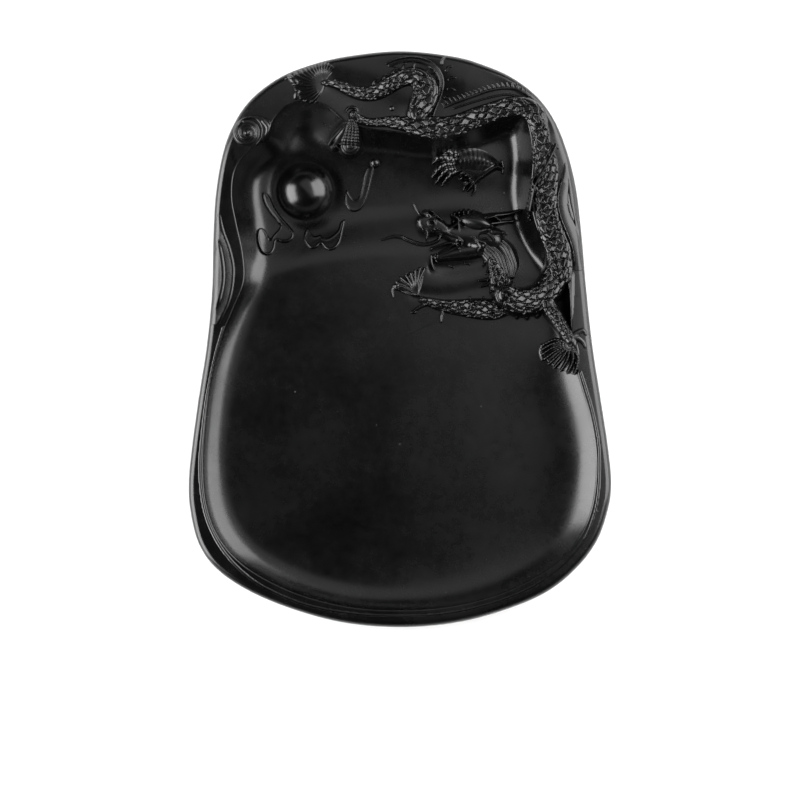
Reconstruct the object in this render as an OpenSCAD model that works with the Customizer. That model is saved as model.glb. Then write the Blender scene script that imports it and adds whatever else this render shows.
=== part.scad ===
// Carved inkstone: a block of dark stone with a hollow-ground grinding basin, a deeper
// ink pool with a pearl, and a dragon among clouds carved round the head of the basin.
// X is the width, +Y points to the head of the stone, Z is up, and the origin is the
// centre of the underside. Millimetres.

/* [Stone] */
// Overall length, along Y
stone_length = 150; // [125:1:180]
// Overall width, along X
stone_width = 110; // [92:1:132]
// Overall height, up to the crest of the carving
stone_height = 22; // [18:0.1:27]
// Radius of the rounded edge round the rim
rim_edge = 1.6; // [0.8:0.1:2]
// Radius of the rounded edge round the underside
foot_edge = 2.4; // [1:0.1:3]

/* [Basin] */
// Depth of the grinding floor below the rim
basin_depth = 4.6; // [3.8:0.1:5.6]
// Drop from the grinding floor to the ink pool
pool_drop = 3.6; // [2:0.1:5]
// Width of the hollow-ground wall of the basin
wall_width = 6.5; // [5:0.1:8]
// Length of the slope from the grinding floor to the pool
slope_length = 8; // [5:0.5:9]

/* [Pearl] */
// Diameter of the pearl
pearl_d = 15.2; // [12:0.1:17]
// Width of the groove round the pearl
moat_width = 1.4; // [0.6:0.1:1.8]
// Depth of the groove round the pearl
moat_depth = 0.8; // [0.3:0.1:1.5]

/* [Dragon] */
// Height of the dragon's crest above the flat rim
crest_rise = 1.4; // [1:0.1:1.8]
// Girth of the body and limbs, as a multiple of the drawing's
girth = 1; // [0.8:0.05:1.2]
// Height of the dragon's neck and legs above the grinding floor
limb_rise = 2.9; // [2.3:0.1:4.2]
// Height of the head above the grinding floor
head_rise = 4.1; // [3.4:0.1:5.8]
// Height of the raised arm and claw above the pool floor
raised_rise = 3.3; // [2.6:0.1:5]
// Width of a claw's or fin's ray
ray_width = 1.2; // [0.9:0.1:1.5]
// Height of the low fins above the surface that they lie on
fin_rise = 0.7; // [0.4:0.1:1]
// Height of the brow above the head
brow_rise = 0.5; // [0.2:0.1:0.9]
// Height of the nostril above the head
nostril_rise = 0.3; // [0.1:0.1:0.8]
// Drop from the head to the lower jaw
jaw_drop = 1.2; // [0.6:0.1:2]
// Drop from the neck to the mane
mane_drop = 0.4; // [0.2:0.1:1]
// Drop from the raised arm to the thin bar that crosses it
bar_drop = 1; // [0.5:0.1:1.6]
// Drop from the fore leg to its talon
talon_drop = 1.4; // [0.8:0.1:2]
// Height of the fore and rear claws' tips above the surface that they lie on
claw_rise = 1.2; // [0.8:0.1:1.8]
// Height of the hind claw's tips above the wall of the basin
hind_claw_rise = 1.4; // [0.8:0.1:2]
// Height of the raised claw's tips above the pool floor
raised_claw_rise = 1.6; // [1.2:0.1:2.4]
// Height of the fore claw's root above the grinding floor
fore_claw_root_rise = 2.3; // [1.8:0.1:3.2]
// Height of the rear claw's root above the rim
rear_claw_root_rise = 0.8; // [0.5:0.1:1.2]

/* [Clouds] */
// Width of the cloud bands on the rim
band_width = 1.1; // [0.7:0.1:1.4]
// Height of the cloud bands above the rim
band_rise = 0.5; // [0.3:0.1:0.9]
// Radius of the scroll cloud
scroll_radius = 3.2; // [2.6:0.1:3.4]
// Height of the scroll cloud above the rim
scroll_rise = 0.9; // [0.6:0.1:1.4]
// Depth of the groove between the scroll's ring and its eye
scroll_groove = 0.45; // [0.2:0.05:0.6]
// Height of the lobe over the scroll cloud
lobe_rise = 0.8; // [0.5:0.1:1.2]
// Height of the small curl on the right rim
curl_rise = 1; // [0.6:0.1:1.4]
// Width of the bead that edges the grinding basin
bead_width = 0.7; // [0.4:0.1:0.9]
// Height of that bead above the rim
bead_rise = 0.35; // [0.2:0.05:0.6]
// Height of the cloud wisps above the pool floor
wisp_rise = 0.9; // [0.5:0.1:1.5]

/* [Hidden] */
rim_z = stone_height - crest_rise;
floor_z = rim_z - basin_depth;
pool_z = floor_z - pool_drop;
limb_z = floor_z + limb_rise;
head_z = floor_z + head_rise;
raised_z = pool_z + raised_rise;
stone_grey = [0.09, 0.09, 0.095];
carving_grey = [0.17, 0.17, 0.175];

ring_points = 112; // points round each ring of the stone
sides = 10;        // sides of a carved stroke's round ends
steps = 2;         // stretches between two points of a carved stroke
root_depth = 1;    // how far a stroke is drawn below the pool before the stone cuts it off
cut_over = 1;      // how far a cut reaches past the surface that it opens
slim = 0.2;        // draft of the scroll cloud's side
crest_gap = 0.3;   // the tail and the limbs on the rim stop this far short of the crest

// Section of a carved stroke: its rounded top as shares of its half width, and the depth of the rounding.
roundness = 0.93;
deepest_round = 2.1;
crown_width = 0.35;
haunch_width = 0.8;
haunch_height = 0.6;
// Section of a band on the rim, as shares of its width and its height.
band_profile = [[-0.5, 0], [-0.35, 0.75], [0, 1], [0.35, 0.75], [0.5, 0]];
// A fan's root, and the web between its rays, as shares of a ray's width and height.
fan_root_width = 1.4;
web_width = 0.5;
web_height = 0.6;
// The bead runs round the foot of the basin, between these shares of the way round, just outside its edge.
bead_first = 0.25;
bead_last = 0.76;
bead_clearance = 0.24;

// The drawing is made for a stone of this size and stretches with the real one.
plan_width = 110;
plan_length = 150;
function on_plan(p) = [p.x * stone_width / plan_width, p.y * stone_length / plan_length];

// Outline of the stone, clockwise from the head.
outline_plan = [
    [0, 75], [14, 73.6], [22, 71.3], [29, 68.2], [35.5, 63.3], [40, 57.3], [43.2, 49.7],
    [45.7, 40], [47.2, 28], [48.4, 14], [50, -1], [52.3, -16], [54.2, -28.5], [55, -37.7],
    [54.1, -44.5], [51.3, -52.4], [46, -59.5], [38.2, -65.8], [27, -70.6], [14, -73.9],
    [0, -75], [-14, -73.9], [-27, -70.6], [-38.8, -65.8], [-47.5, -60], [-52.3, -53.4],
    [-54.5, -45], [-55, -37.7], [-54.2, -28.5], [-52.5, -16], [-50.2, -1], [-48.9, 13],
    [-48.6, 26], [-47.9, 38], [-45.8, 49.5], [-42.4, 57.5], [-38, 63.2], [-31.2, 68.2],
    [-23.5, 71.3], [-14, 73.6]];

// Edge of the basin, where the wall meets the rim, clockwise from the head.
basin_plan = [
    [-24, 61.8], [-19, 60.2], [-14.5, 56.5], [-8, 54.5], [0, 53.5], [8, 52], [15, 53],
    [22, 55.5], [28, 57.8], [32.2, 57.4], [33.8, 53], [34.4, 46], [34, 40], [34.2, 34],
    [35.8, 28], [38.5, 22.5], [43, 16.5], [44.2, 9], [44.4, 2], [45.2, -5], [47.2, -12.5],
    [49.4, -20], [50.9, -29], [50.8, -38], [49.2, -46], [45.8, -52.6], [39.8, -58.8],
    [28, -65.4], [14, -69.3], [0, -70.4], [-14, -69.4], [-28, -65.6], [-40, -59.2],
    [-46.8, -52], [-50.2, -43.5], [-51.2, -33.5], [-50.6, -22], [-49, -10], [-46.4, 0],
    [-43.2, 8], [-40.5, 15], [-40.8, 22.5], [-42.4, 30], [-43.6, 37], [-42.8, 44],
    [-38.8, 49.4], [-34.4, 53.2], [-32.8, 57], [-29.4, 60.4]];

// Smooth curves through points: x, y and any width or height after them.
function spline(a, b, c, d, t) =
    (2 * b + (c - a) * t + (2 * a - 5 * b + 4 * c - d) * t ^ 2 + (3 * b - a - 3 * c + d) * t ^ 3) / 2;
function closed_curve(p, n) = let (k = len(p))
    [for (i = [0:k - 1], j = [0:n - 1])
        spline(p[(i + k - 1) % k], p[i], p[(i + 1) % k], p[(i + 2) % k], j / n)];
function open_curve(p, n) = let (k = len(p) - 1)
    concat([for (i = [0:k - 1], j = [0:n - 1])
        spline(p[max(i - 1, 0)], p[i], p[i + 1], p[min(i + 2, k)], j / n)], [p[k]]);

// Distance from the centre to a closed curve in the direction d.
function cross2(u, v) = u.x * v.y - u.y * v.x;
function reach(curve, d) = let (k = len(curve))
    max([for (i = [0:k - 1])
        let (p = curve[i], e = curve[(i + 1) % k] - p, s = cross2(d, e))
        if (abs(s) > 1e-9 && cross2(p, d) / s >= 0 && cross2(p, d) / s <= 1) cross2(p, e) / s]);

directions = [for (i = [0:ring_points - 1]) [sin(360 * i / ring_points), cos(360 * i / ring_points)]];
outline_drawn = closed_curve(outline_plan, 4);
outline_polar = [for (d = directions) reach(outline_drawn, d) * d];
low = [for (k = [0:1]) min([for (p = outline_polar) p[k]])];
high = [for (k = [0:1]) max([for (p = outline_polar) p[k]])];
// A drawn point in the stone's own frame, where the outline's box is exactly as wide and long as the stone.
function placed(p) = [for (k = [0:1])
    (p[k] - (high[k] + low[k]) / 2) * [stone_width, stone_length][k] / (high[k] - low[k])];
outline_ring = [for (p = outline_polar) placed(p)];
basin_curve = [for (p = closed_curve(basin_plan, 3)) placed(p)];
basin_ring = [for (d = directions) reach(basin_curve, d) * d];

// Height of the basin's floor: the grinding floor, then a slope down to the pool.
slope_start = 22.5; // where the slope starts, at the middle of the stone
slope_bow = 0.005;  // how fast that line bows back to either side
function eased(t) = let (u = min(max(t, 0), 1)) u * u * (3 - 2 * u);
function ground(p) = let (
    x = p.x * plan_width / stone_width,
    y = p.y * plan_length / stone_length,
    start = slope_start - slope_bow * x * x)
    floor_z - pool_drop * eased((y - start) / slope_length);

// Height of the hollow-ground wall, or of the floor, at a distance in from the basin's edge.
function wall_z(from_edge, foot_z) =
    let (cosine = 1 - min(from_edge / wall_width, 1))
    rim_z - (rim_z - foot_z) * sqrt(1 - cosine * cosine);
function stone_top(p) = let (
    r = max(norm(p), 0.01),
    edge = reach(basin_curve, p / r),
    foot = p * (edge - wall_width) / r)
    edge < r ? rim_z : edge - r < wall_width ? wall_z(edge - r, ground(foot)) : ground(p);

function inward(p, d) = p * (1 - d / norm(p));
function lifted(p, z) = [p.x, p.y, z];
edge_turns = [0, 30, 60, 90];
wall_turns = [0, 20, 40, 65, 90];
floor_shares = [0.9:-0.1:0.15];
stone_rings = concat(
    [for (t = edge_turns) [for (p = outline_ring)
        lifted(inward(p, foot_edge * (1 - sin(t))), foot_edge * (1 - cos(t)))]],
    [for (t = edge_turns) [for (p = outline_ring)
        lifted(inward(p, rim_edge * (1 - cos(t))), rim_z - rim_edge * (1 - sin(t)))]],
    [for (t = wall_turns) let (d = wall_width * (1 - cos(t))) [for (p = basin_ring)
        lifted(inward(p, d), wall_z(d, ground(inward(p, wall_width))))]],
    [for (s = floor_shares) [for (p = basin_ring)
        let (q = s * inward(p, wall_width)) lifted(q, ground(q))]]);

// A closed solid through rings of points, with its first and last rings closed on a centre point.
module lofted(rings, first, last) {
    n = len(rings[0]);
    m = len(rings);
    function at(r, i) = r * n + i % n;
    points = concat([for (r = rings) each r], [first, last]);
    faces = concat(
        [for (r = [0:m - 2], i = [0:n - 1]) each
            [[at(r, i), at(r, i + 1), at(r + 1, i + 1)], [at(r, i), at(r + 1, i + 1), at(r + 1, i)]]],
        [for (i = [0:n - 1]) [m * n, at(0, i + 1), at(0, i)]],
        [for (i = [0:n - 1]) [m * n + 1, at(m - 1, i), at(m - 1, i + 1)]]);
    polyhedron(points, faces);
}

module stone_blank() {
    lofted(stone_rings, [0, 0, 0], [0, 0, ground([0, 0])]);
}

// What is left of a carving above the surface of the stone.
module on_stone() {
    difference() {
        children();
        stone_blank();
    }
}

// A band with a rounded back that lies on the flat rim along a path of real points.
module rim_band(path, width, rise) {
    k = len(path) - 1;
    n = len(band_profile);
    points = [for (i = [0:k])
        let (d = path[min(i + 1, k)] - path[max(i - 1, 0)], across = [-d.y, d.x] / norm(d))
        for (s = band_profile) lifted(path[i] + across * width * s.x, rim_z + rise * s.y)];
    faces = concat(
        [for (r = [0:k - 1], i = [0:n - 1]) let (j = (i + 1) % n) each
            [[r * n + i, r * n + j, (r + 1) * n + j], [r * n + i, (r + 1) * n + j, (r + 1) * n + i]]],
        [[for (i = [n - 1:-1:0]) i], [for (i = [0:n - 1]) k * n + i]]);
    polyhedron(points, faces);
}
function drawn_path(points) = [for (p = open_curve(points, steps)) on_plan(p)];

// One round station of a carved stroke, at [x, y, width], from inside the stone up to its rounded top.
module station(p, top) {
    r = p[2] * girth / 2;
    shoulder = top - min(r * roundness, deepest_round);
    q = on_plan(p);
    translate([q.x, q.y, 0])
        rotate_extrude($fn = sides)
            polygon([[0, pool_z - root_depth], [r, pool_z - root_depth], [r, shoulder],
                     [r * haunch_width, shoulder + (top - shoulder) * haunch_height],
                     [r * crown_width, top], [0, top]]);
}

// A carved stroke through points [x, y, width] with its top at one height.
module stroke(points, top) {
    path = open_curve(points, steps);
    for (i = [0:len(path) - 2])
        hull() {
            station(path[i], top);
            station(path[i + 1], top);
        }
}

// A stroke that keeps one height above the surface of the stone.
module low_stroke(points, rise) {
    path = open_curve(points, steps);
    for (i = [0:len(path) - 2])
        hull() {
            station(path[i], stone_top(on_plan(path[i])) + rise);
            station(path[i + 1], stone_top(on_plan(path[i + 1])) + rise);
        }
}

// Rays that spread from one raised point to low tips, with a thinner web between them.
module fan(apex, apex_top, tips, tip_rise) {
    root = [apex.x, apex.y, ray_width * fan_root_width];
    function tip_top(t) = stone_top(on_plan(t)) + tip_rise;
    for (t = tips)
        hull() {
            station(root, apex_top);
            station([t.x, t.y, ray_width], tip_top(t));
        }
    for (i = [0:len(tips) - 2])
        hull() {
            station(root, apex_top - tip_rise * (1 - web_height));
            for (t = [tips[i], tips[i + 1]])
                station([t.x, t.y, ray_width * web_width], tip_top(t) - tip_rise * (1 - web_height));
        }
}

// Strokes of the carving: x, y and width at each point.
tail_line = [[-19.7, 66.3, 1.8], [-17.5, 66.5, 2.2], [-14.8, 65.6, 2.7], [-12, 64.5, 3.2],
    [-9, 63.8, 3.6], [-6, 64.4, 3.9], [-3, 65.8, 4.1], [0, 67.3, 4.2], [3, 68.3, 4.4]];
loop_line = [[2.6, 68.2, 4.8], [5.6, 67.4, 5.8], [6.5, 64.6, 6.8], [5.6, 61.4, 6.8], [4.6, 58.4, 5.4]];
upper_line = [[-1, 56.3, 3.4], [3.5, 55.8, 5], [8, 54.8, 6], [12, 54.8, 5.9], [16, 56, 5.6],
    [20, 57.5, 5.4], [24, 58.8, 5.2], [28, 60.2, 5.2], [31.5, 60.6, 5.4], [34.2, 59.2, 5.6],
    [35.8, 56.6, 5.2]];
right_line = [[35.6, 56.8, 5], [36, 53.5, 4.6], [36.8, 50, 5], [38, 46.4, 6.2], [38, 42, 6.6],
    [37.8, 38, 6.2], [38, 34, 6], [38.6, 30, 6.4], [40, 26, 6.8], [41, 22, 7], [41, 18.5, 7.2]];
lower_line = [[40.8, 18.8, 7], [39.2, 14.6, 7.2], [36.6, 11, 7.4], [33.4, 9.4, 7.4], [30, 9.2, 7.2],
    [27, 11, 6.4]];
neck_line = [[27, 11.4, 6], [25.9, 14.2, 6.2], [25.4, 17.2, 6], [24.4, 20.2, 5.6], [23, 23, 5]];
head_line = [[24, 27, 7.4], [20.5, 28.4, 8.6], [16.5, 29.4, 7.4], [12.6, 30, 5.6], [9.4, 30.4, 4.8],
    [7, 30, 3.8]];
brow_spot = [15.2, 31.2, 2.2];
nostril_spot = [8.2, 31, 2];
jaw_line = [[21, 24.6, 3.8], [17.6, 23.8, 3.6], [14.4, 23, 3], [11.6, 22.2, 2.6], [9.2, 21, 1.8]];
hind_leg_line = [[-1, 56.4, 3], [-4, 56.4, 2.8], [-7.5, 56.8, 2.5], [-10.5, 57.4, 2.6], [-12.4, 58.8, 3]];
arm_line = [[27, 45, 2.4], [24.4, 45.2, 3], [21.6, 46, 4.4], [18.6, 46.2, 4.6], [16.2, 46.6, 3.6]];
bar_line = [[26.4, 44.4, 1.4], [23.6, 43.2, 1.5], [21, 41.6, 1.6], [18.8, 40, 1.8], [17.4, 38.6, 1.6]];
fore_leg_line = [[26, 8.4, 5.2], [22, 7.9, 5.2], [18, 8.2, 4.6], [14.4, 8.5, 3.8], [11, 9.1, 3],
    [8, 10, 2.5], [4.8, 11.4, 2.2]];
talon_line = [[9, 9.4, 1.8], [7.2, 8.6, 1.7], [5.6, 7.8, 1.4], [4, 7, 1.2], [3, 6.6, 1]];
rear_leg_line = [[38.8, 8.2, 5], [40.4, 5.4, 4.2], [42, 2.6, 3.5], [43.6, 0, 3], [44.4, -1.4, 2.6]];
horn_lines = [
    [[21, 31.6, 2.2], [24.4, 32.8, 2], [28, 33.5, 1.7], [31.2, 33.4, 1.1]],
    [[22.6, 29.8, 2.2], [25, 30.4, 1.8], [27.4, 30.2, 1.5], [29.4, 29.6, 1.1]]];
mane_lines = [
    [[24, 27.6, 2], [27.6, 26.2, 2], [29.8, 22.8, 1.9], [30, 19.4, 1.6], [29, 17, 1.2]],
    [[23.6, 24.8, 2], [26.6, 23.6, 2], [28, 20.8, 1.7], [28, 18, 1.3]],
    [[21, 22.4, 1.8], [22.6, 19.8, 1.8], [22.4, 17.2, 1.5], [21.4, 15.4, 1.1]]];
whisker_line = [[9.8, 29, 1], [10.4, 27.4, 1], [9, 25.8, 1], [6.5, 25, 1], [4, 25.4, 1],
    [2, 26.4, 1], [0, 27.2, 1], [-2, 26.8, 1], [-4, 26.2, 0.9]];
wisp_left_lines = [
    [[-35.2, 36, 2], [-33.6, 34, 2.2], [-32.2, 31.6, 2.2], [-31.2, 28.6, 2.4], [-30, 26.6, 2]],
    [[-31.6, 29, 2.4], [-33, 27.6, 2.2], [-34.8, 25.8, 2.8], [-36, 24.4, 2.4]]];
wisp_lower_line = [[-23.4, 27.4, 1.8], [-22.6, 25.6, 2], [-20.6, 25.8, 2], [-18.6, 25.1, 2],
    [-16.6, 26, 2], [-15.4, 28, 1.8], [-14.8, 30, 1.6]];
wisp_right_line = [[-7.4, 45.2, 2.2], [-8.4, 42.2, 2], [-9.2, 39, 2], [-10.4, 36, 2.2], [-12.6, 35.2, 2],
    [-14, 36.8, 1.6]];
lobe_line = [[-33.8, 53.4, 2.2], [-33.4, 55.2, 2.4], [-34.8, 56.8, 2.4], [-37, 57.8, 1.9], [-39, 58.2, 1.4]];
dorsal_line = [[12, 61, 1.2], [15.5, 62.4, 1.3], [19, 63.6, 1.3], [24, 65.2, 1.3], [28.6, 65.6, 1.2],
    [32, 64.4, 1]];
dorsal_roots = [[15.5, 62.4], [19, 63.6], [22.4, 64.8], [25.6, 65.4]];
barb_reach = [-1.6, 1.6];
barb_taper = 0.7;
loop_border = [[-3, 71.6], [1, 72.3], [5, 72.3], [8.6, 71.2], [10.8, 68.7], [11.3, 65.6], [10.8, 63]];
loop_flames = [[[11, 71.2], [13.4, 71.9]], [[12.1, 68.6], [14.6, 68.9]],
    [[12.3, 66], [14.7, 65.6]], [[11.9, 63.2], [14.1, 62.5]]];

// Where the fans spread from, and their tips.
fin_root = [-20, 66.4];
fin_tips = [[-17.4, 70], [-19, 70.6], [-21, 70.4], [-23, 70], [-25.2, 69], [-27.2, 68], [-28.8, 66.8],
    [-27.8, 65.2], [-26.8, 63.8], [-24.4, 63]];
hind_claw_root = [-11.8, 57.2];
hind_claw_tips = [[-18.3, 52.2], [-16.6, 50.4], [-14.6, 49.2], [-12.4, 48.6], [-10.4, 48.6]];
raised_claw_root = [15, 46.8];
raised_claw_tips = [[10, 48.6], [9.4, 46.4], [9.6, 44], [11, 41.6], [13.6, 40.4]];
fore_claw_root = [4.8, 11.6];
fore_claw_tips = [[-1.6, 13], [-0.8, 14.8], [1, 16.2], [3, 17.2], [5.2, 17.8], [7, 17.2]];
rear_claw_root = [44.2, -1.4];
rear_claw_tips = [[37, -1.8], [37.2, -4], [38.8, -6.2], [41.4, -7.8], [44.4, -8.2]];

left_bands = [
    [[-47, 31], [-46.1, 28], [-44.7, 24], [-43.7, 20], [-43.5, 17], [-43.7, 13], [-44.7, 9.5], [-46, 6.5]],
    [[-46.8, 25], [-46.3, 20], [-46.2, 16], [-46.6, 12], [-47.1, 9]]];
right_bands = [
    [[43.2, 44], [42.6, 41], [42.3, 37.5], [42.6, 34], [43.6, 30.5], [44.8, 27]],
    [[45.9, 23], [46.2, 19], [46.4, 15], [46.6, 11], [46.9, 7]]];
curl_line = [[45.1, 0.4, 1.4], [46, 1.5, 1.6], [46.9, 1, 1.7], [46.9, -0.5, 1.6], [45.9, -1.4, 1.4]];

pearl_plan = [-24.8, 38.8];
pearl_at = on_plan(pearl_plan);
scroll_plan = [-39.2, 53.4];
scroll_at = on_plan(scroll_plan);
near_crest = stone_height - crest_gap;

// The forms before the stone and their neighbours cut them back.
module tail_form() stroke(tail_line, near_crest);
module loop_form() stroke(loop_line, stone_height);
module upper_form() stroke(upper_line, stone_height);
module right_form() stroke(right_line, stone_height);
module lower_form() stroke(lower_line, near_crest);
module neck_form() stroke(neck_line, limb_z);
module head_form() stroke(head_line, head_z);
module jaw_form() stroke(jaw_line, head_z - jaw_drop);
module hind_leg_form() stroke(hind_leg_line, near_crest);
module hind_claw_form() fan(hind_claw_root, near_crest, hind_claw_tips, hind_claw_rise);
module arm_form() stroke(arm_line, raised_z);
module raised_claw_form() fan(raised_claw_root, raised_z, raised_claw_tips, raised_claw_rise);
module fore_leg_form() stroke(fore_leg_line, limb_z);
module talon_form() stroke(talon_line, limb_z - talon_drop);
module fore_claw_form() fan(fore_claw_root, floor_z + fore_claw_root_rise, fore_claw_tips, claw_rise);
module rear_leg_form() stroke(rear_leg_line, near_crest);
module rear_claw_form() fan(rear_claw_root, rim_z + rear_claw_root_rise, rear_claw_tips, claw_rise);
module fin_form() fan(fin_root, rim_z + fin_rise * fan_root_width, fin_tips, fin_rise);

module moat() {
    translate([pearl_at.x, pearl_at.y, pool_z - moat_depth])
        cylinder(d = pearl_d + 2 * moat_width, h = moat_depth + cut_over, $fn = 64);
}

module stone_body() color(stone_grey) difference() {
    stone_blank();
    moat();
}

module pearl() color(carving_grey) translate([pearl_at.x, pearl_at.y, pool_z - moat_depth])
    rotate_extrude($fn = 64)
        intersection() {
            circle(d = pearl_d, $fn = 64);
            square(pearl_d);
        }

module basin_bead() color(stone_grey) {
    first = round(ring_points * bead_first);
    last = round(ring_points * bead_last);
    outward = bead_width / 2 + bead_clearance;
    rim_band([for (i = [first:last]) inward(basin_ring[i], -outward)], bead_width, bead_rise);
}

module scroll_cloud() color(carving_grey) translate([scroll_at.x, scroll_at.y, rim_z])
    rotate_extrude($fn = 48)
        polygon([[0, 0], [scroll_radius, 0], [scroll_radius - slim, scroll_rise * 0.8],
            [scroll_radius * 0.85, scroll_rise], [scroll_radius * 0.6, scroll_rise],
            [scroll_radius * 0.55, scroll_rise - scroll_groove],
            [scroll_radius * 0.4, scroll_rise - scroll_groove], [scroll_radius * 0.35, scroll_rise],
            [scroll_radius * 0.15, scroll_rise * 1.1], [0, scroll_rise * 1.1]]);

module cloud_lobe() color(carving_grey) on_stone() low_stroke(lobe_line, lobe_rise);
module left_cloud_bands() color(stone_grey)
    for (b = left_bands) rim_band(drawn_path(b), band_width, band_rise);
module right_cloud_bands() color(stone_grey)
    for (b = right_bands) rim_band(drawn_path(b), band_width, band_rise);
module cloud_curl() color(carving_grey) on_stone() low_stroke(curl_line, curl_rise);
module wisp_left() color(carving_grey) on_stone() for (w = wisp_left_lines) low_stroke(w, wisp_rise);
module wisp_lower() color(carving_grey) on_stone() low_stroke(wisp_lower_line, wisp_rise);
module wisp_right() color(carving_grey) on_stone() low_stroke(wisp_right_line, wisp_rise);

module tail_fin() color(carving_grey) difference() {
    on_stone() fin_form();
    tail_form();
}
module tail() color(carving_grey) on_stone() tail_form();
module loop_fin() color(carving_grey) {
    rim_band(drawn_path(loop_border), ray_width, fin_rise);
    for (f = loop_flames) rim_band([on_plan(f[0]), on_plan(f[1])], ray_width, fin_rise);
}
module body_loop() color(carving_grey) difference() {
    on_stone() loop_form();
    tail_form();
}
module body_upper() color(carving_grey) difference() {
    on_stone() upper_form();
    loop_form();
}
module dorsal_fin() color(carving_grey) on_stone() {
    low_stroke(dorsal_line, fin_rise);
    for (b = dorsal_roots)
        low_stroke([[b.x, b.y, ray_width], [b.x + barb_reach.x, b.y + barb_reach.y, ray_width * barb_taper]],
            fin_rise);
}
module body_right() color(carving_grey) difference() {
    on_stone() right_form();
    upper_form();
}
module body_lower() color(carving_grey) difference() {
    on_stone() lower_form();
    right_form();
}
module neck() color(carving_grey) difference() {
    on_stone() neck_form();
    lower_form();
}
module head() color(carving_grey) difference() {
    on_stone() {
        head_form();
        station(brow_spot, head_z + brow_rise);
        station(nostril_spot, head_z + nostril_rise);
    }
    neck_form();
}
module lower_jaw() color(carving_grey) difference() {
    on_stone() jaw_form();
    head_form();
    neck_form();
}
module horns() color(carving_grey) difference() {
    on_stone() for (h = horn_lines) stroke(h, head_z);
    head_form();
}
module mane() color(carving_grey) difference() {
    on_stone() for (m = mane_lines) stroke(m, limb_z - mane_drop);
    head_form();
    jaw_form();
    neck_form();
    lower_form();
}
module whisker() color(carving_grey) difference() {
    on_stone() low_stroke(whisker_line, fin_rise);
    head_form();
}
module hind_leg() color(carving_grey) difference() {
    on_stone() hind_leg_form();
    upper_form();
    loop_form();
}
module hind_claw() color(carving_grey) difference() {
    on_stone() hind_claw_form();
    hind_leg_form();
}
module raised_arm() color(carving_grey) difference() {
    on_stone() {
        arm_form();
        stroke(bar_line, raised_z - bar_drop);
    }
    raised_claw_form();
}
module raised_claw() color(carving_grey) on_stone() raised_claw_form();
module fore_leg() color(carving_grey) difference() {
    on_stone() {
        fore_leg_form();
        talon_form();
    }
    lower_form();
    neck_form();
}
module fore_claw() color(carving_grey) difference() {
    on_stone() fore_claw_form();
    fore_leg_form();
    talon_form();
}
module rear_leg() color(carving_grey) difference() {
    on_stone() rear_leg_form();
    lower_form();
}
module rear_claw() color(carving_grey) difference() {
    on_stone() rear_claw_form();
    rear_leg_form();
}

stone_body();
basin_bead();
left_cloud_bands();
right_cloud_bands();
scroll_cloud();
cloud_lobe();
cloud_curl();
pearl();
wisp_left();
wisp_lower();
wisp_right();
tail_fin();
tail();
loop_fin();
body_loop();
body_upper();
dorsal_fin();
body_right();
body_lower();
neck();
head();
lower_jaw();
horns();
mane();
whisker();
hind_leg();
hind_claw();
raised_arm();
raised_claw();
fore_leg();
fore_claw();
rear_leg();
rear_claw();
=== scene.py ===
"""Carved inkstone: the looks of one dark stone with a dragon, clouds and a pearl in relief.

Every carved feature is a fine patch that stands on the stone's own surface. Shapes are worked out in
millimetres in the CAD model's frame, and become metres when a mesh is made.
"""
import math

import bpy
import numpy as np
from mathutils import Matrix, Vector


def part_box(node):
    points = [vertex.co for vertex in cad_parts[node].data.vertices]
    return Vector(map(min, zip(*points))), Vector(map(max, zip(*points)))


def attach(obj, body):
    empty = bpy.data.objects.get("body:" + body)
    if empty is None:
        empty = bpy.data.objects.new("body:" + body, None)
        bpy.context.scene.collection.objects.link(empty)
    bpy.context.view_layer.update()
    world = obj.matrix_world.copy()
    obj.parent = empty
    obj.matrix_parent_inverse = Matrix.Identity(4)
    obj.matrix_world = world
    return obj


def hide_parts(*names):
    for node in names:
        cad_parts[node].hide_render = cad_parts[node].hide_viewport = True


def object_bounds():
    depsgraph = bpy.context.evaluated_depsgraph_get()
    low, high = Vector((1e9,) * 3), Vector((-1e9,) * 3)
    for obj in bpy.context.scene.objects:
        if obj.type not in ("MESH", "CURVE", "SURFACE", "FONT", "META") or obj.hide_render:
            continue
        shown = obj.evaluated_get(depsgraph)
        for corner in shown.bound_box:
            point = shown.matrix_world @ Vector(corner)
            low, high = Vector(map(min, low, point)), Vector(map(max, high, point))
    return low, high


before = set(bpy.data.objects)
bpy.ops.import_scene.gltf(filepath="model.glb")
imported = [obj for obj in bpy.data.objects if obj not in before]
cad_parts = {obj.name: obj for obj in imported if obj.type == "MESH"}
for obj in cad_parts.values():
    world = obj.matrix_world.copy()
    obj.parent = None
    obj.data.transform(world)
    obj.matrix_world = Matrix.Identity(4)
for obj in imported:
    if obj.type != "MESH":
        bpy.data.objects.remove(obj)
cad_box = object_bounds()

MM = 0.001


def box_of(node):
    """Lowest and highest corner of a CAD node, in millimetres."""
    return [np.array(corner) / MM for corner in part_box(node)]


STONE_LOW, STONE_HIGH = box_of("stone_body")
PEARL_LOW, PEARL_HIGH = box_of("pearl")
PEARL = (PEARL_LOW + PEARL_HIGH)[:2] / 2
PEARL_RADIUS = (PEARL_HIGH - PEARL_LOW)[0] / 2
MOAT_DEPTH = 0.8      # groove round the pearl
MOAT_WIDTH = 2.7
CREST = cad_box[1].z / MM   # top of the carving
RIM = STONE_HIGH[2]
FLOOR = box_of("fore_leg")[0][2]
POOL = PEARL_LOW[2] + MOAT_DEPTH
RIM_EDGE = 1.6        # radius of the rim's outer edge
FOOT_EDGE = 2.4       # radius of the edge that the stone stands on
BASIN_EDGE = 0.45     # radius of the edge between rim and basin
WALL_WIDTH = 6.5      # width of the round wall of the basin
SLOPE_START = 21.5    # where the slope to the pool starts, on the stone's middle line
SLOPE_BOW = 0.005     # how much earlier it starts away from that line
SLOPE_LENGTH = 14.0
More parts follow.
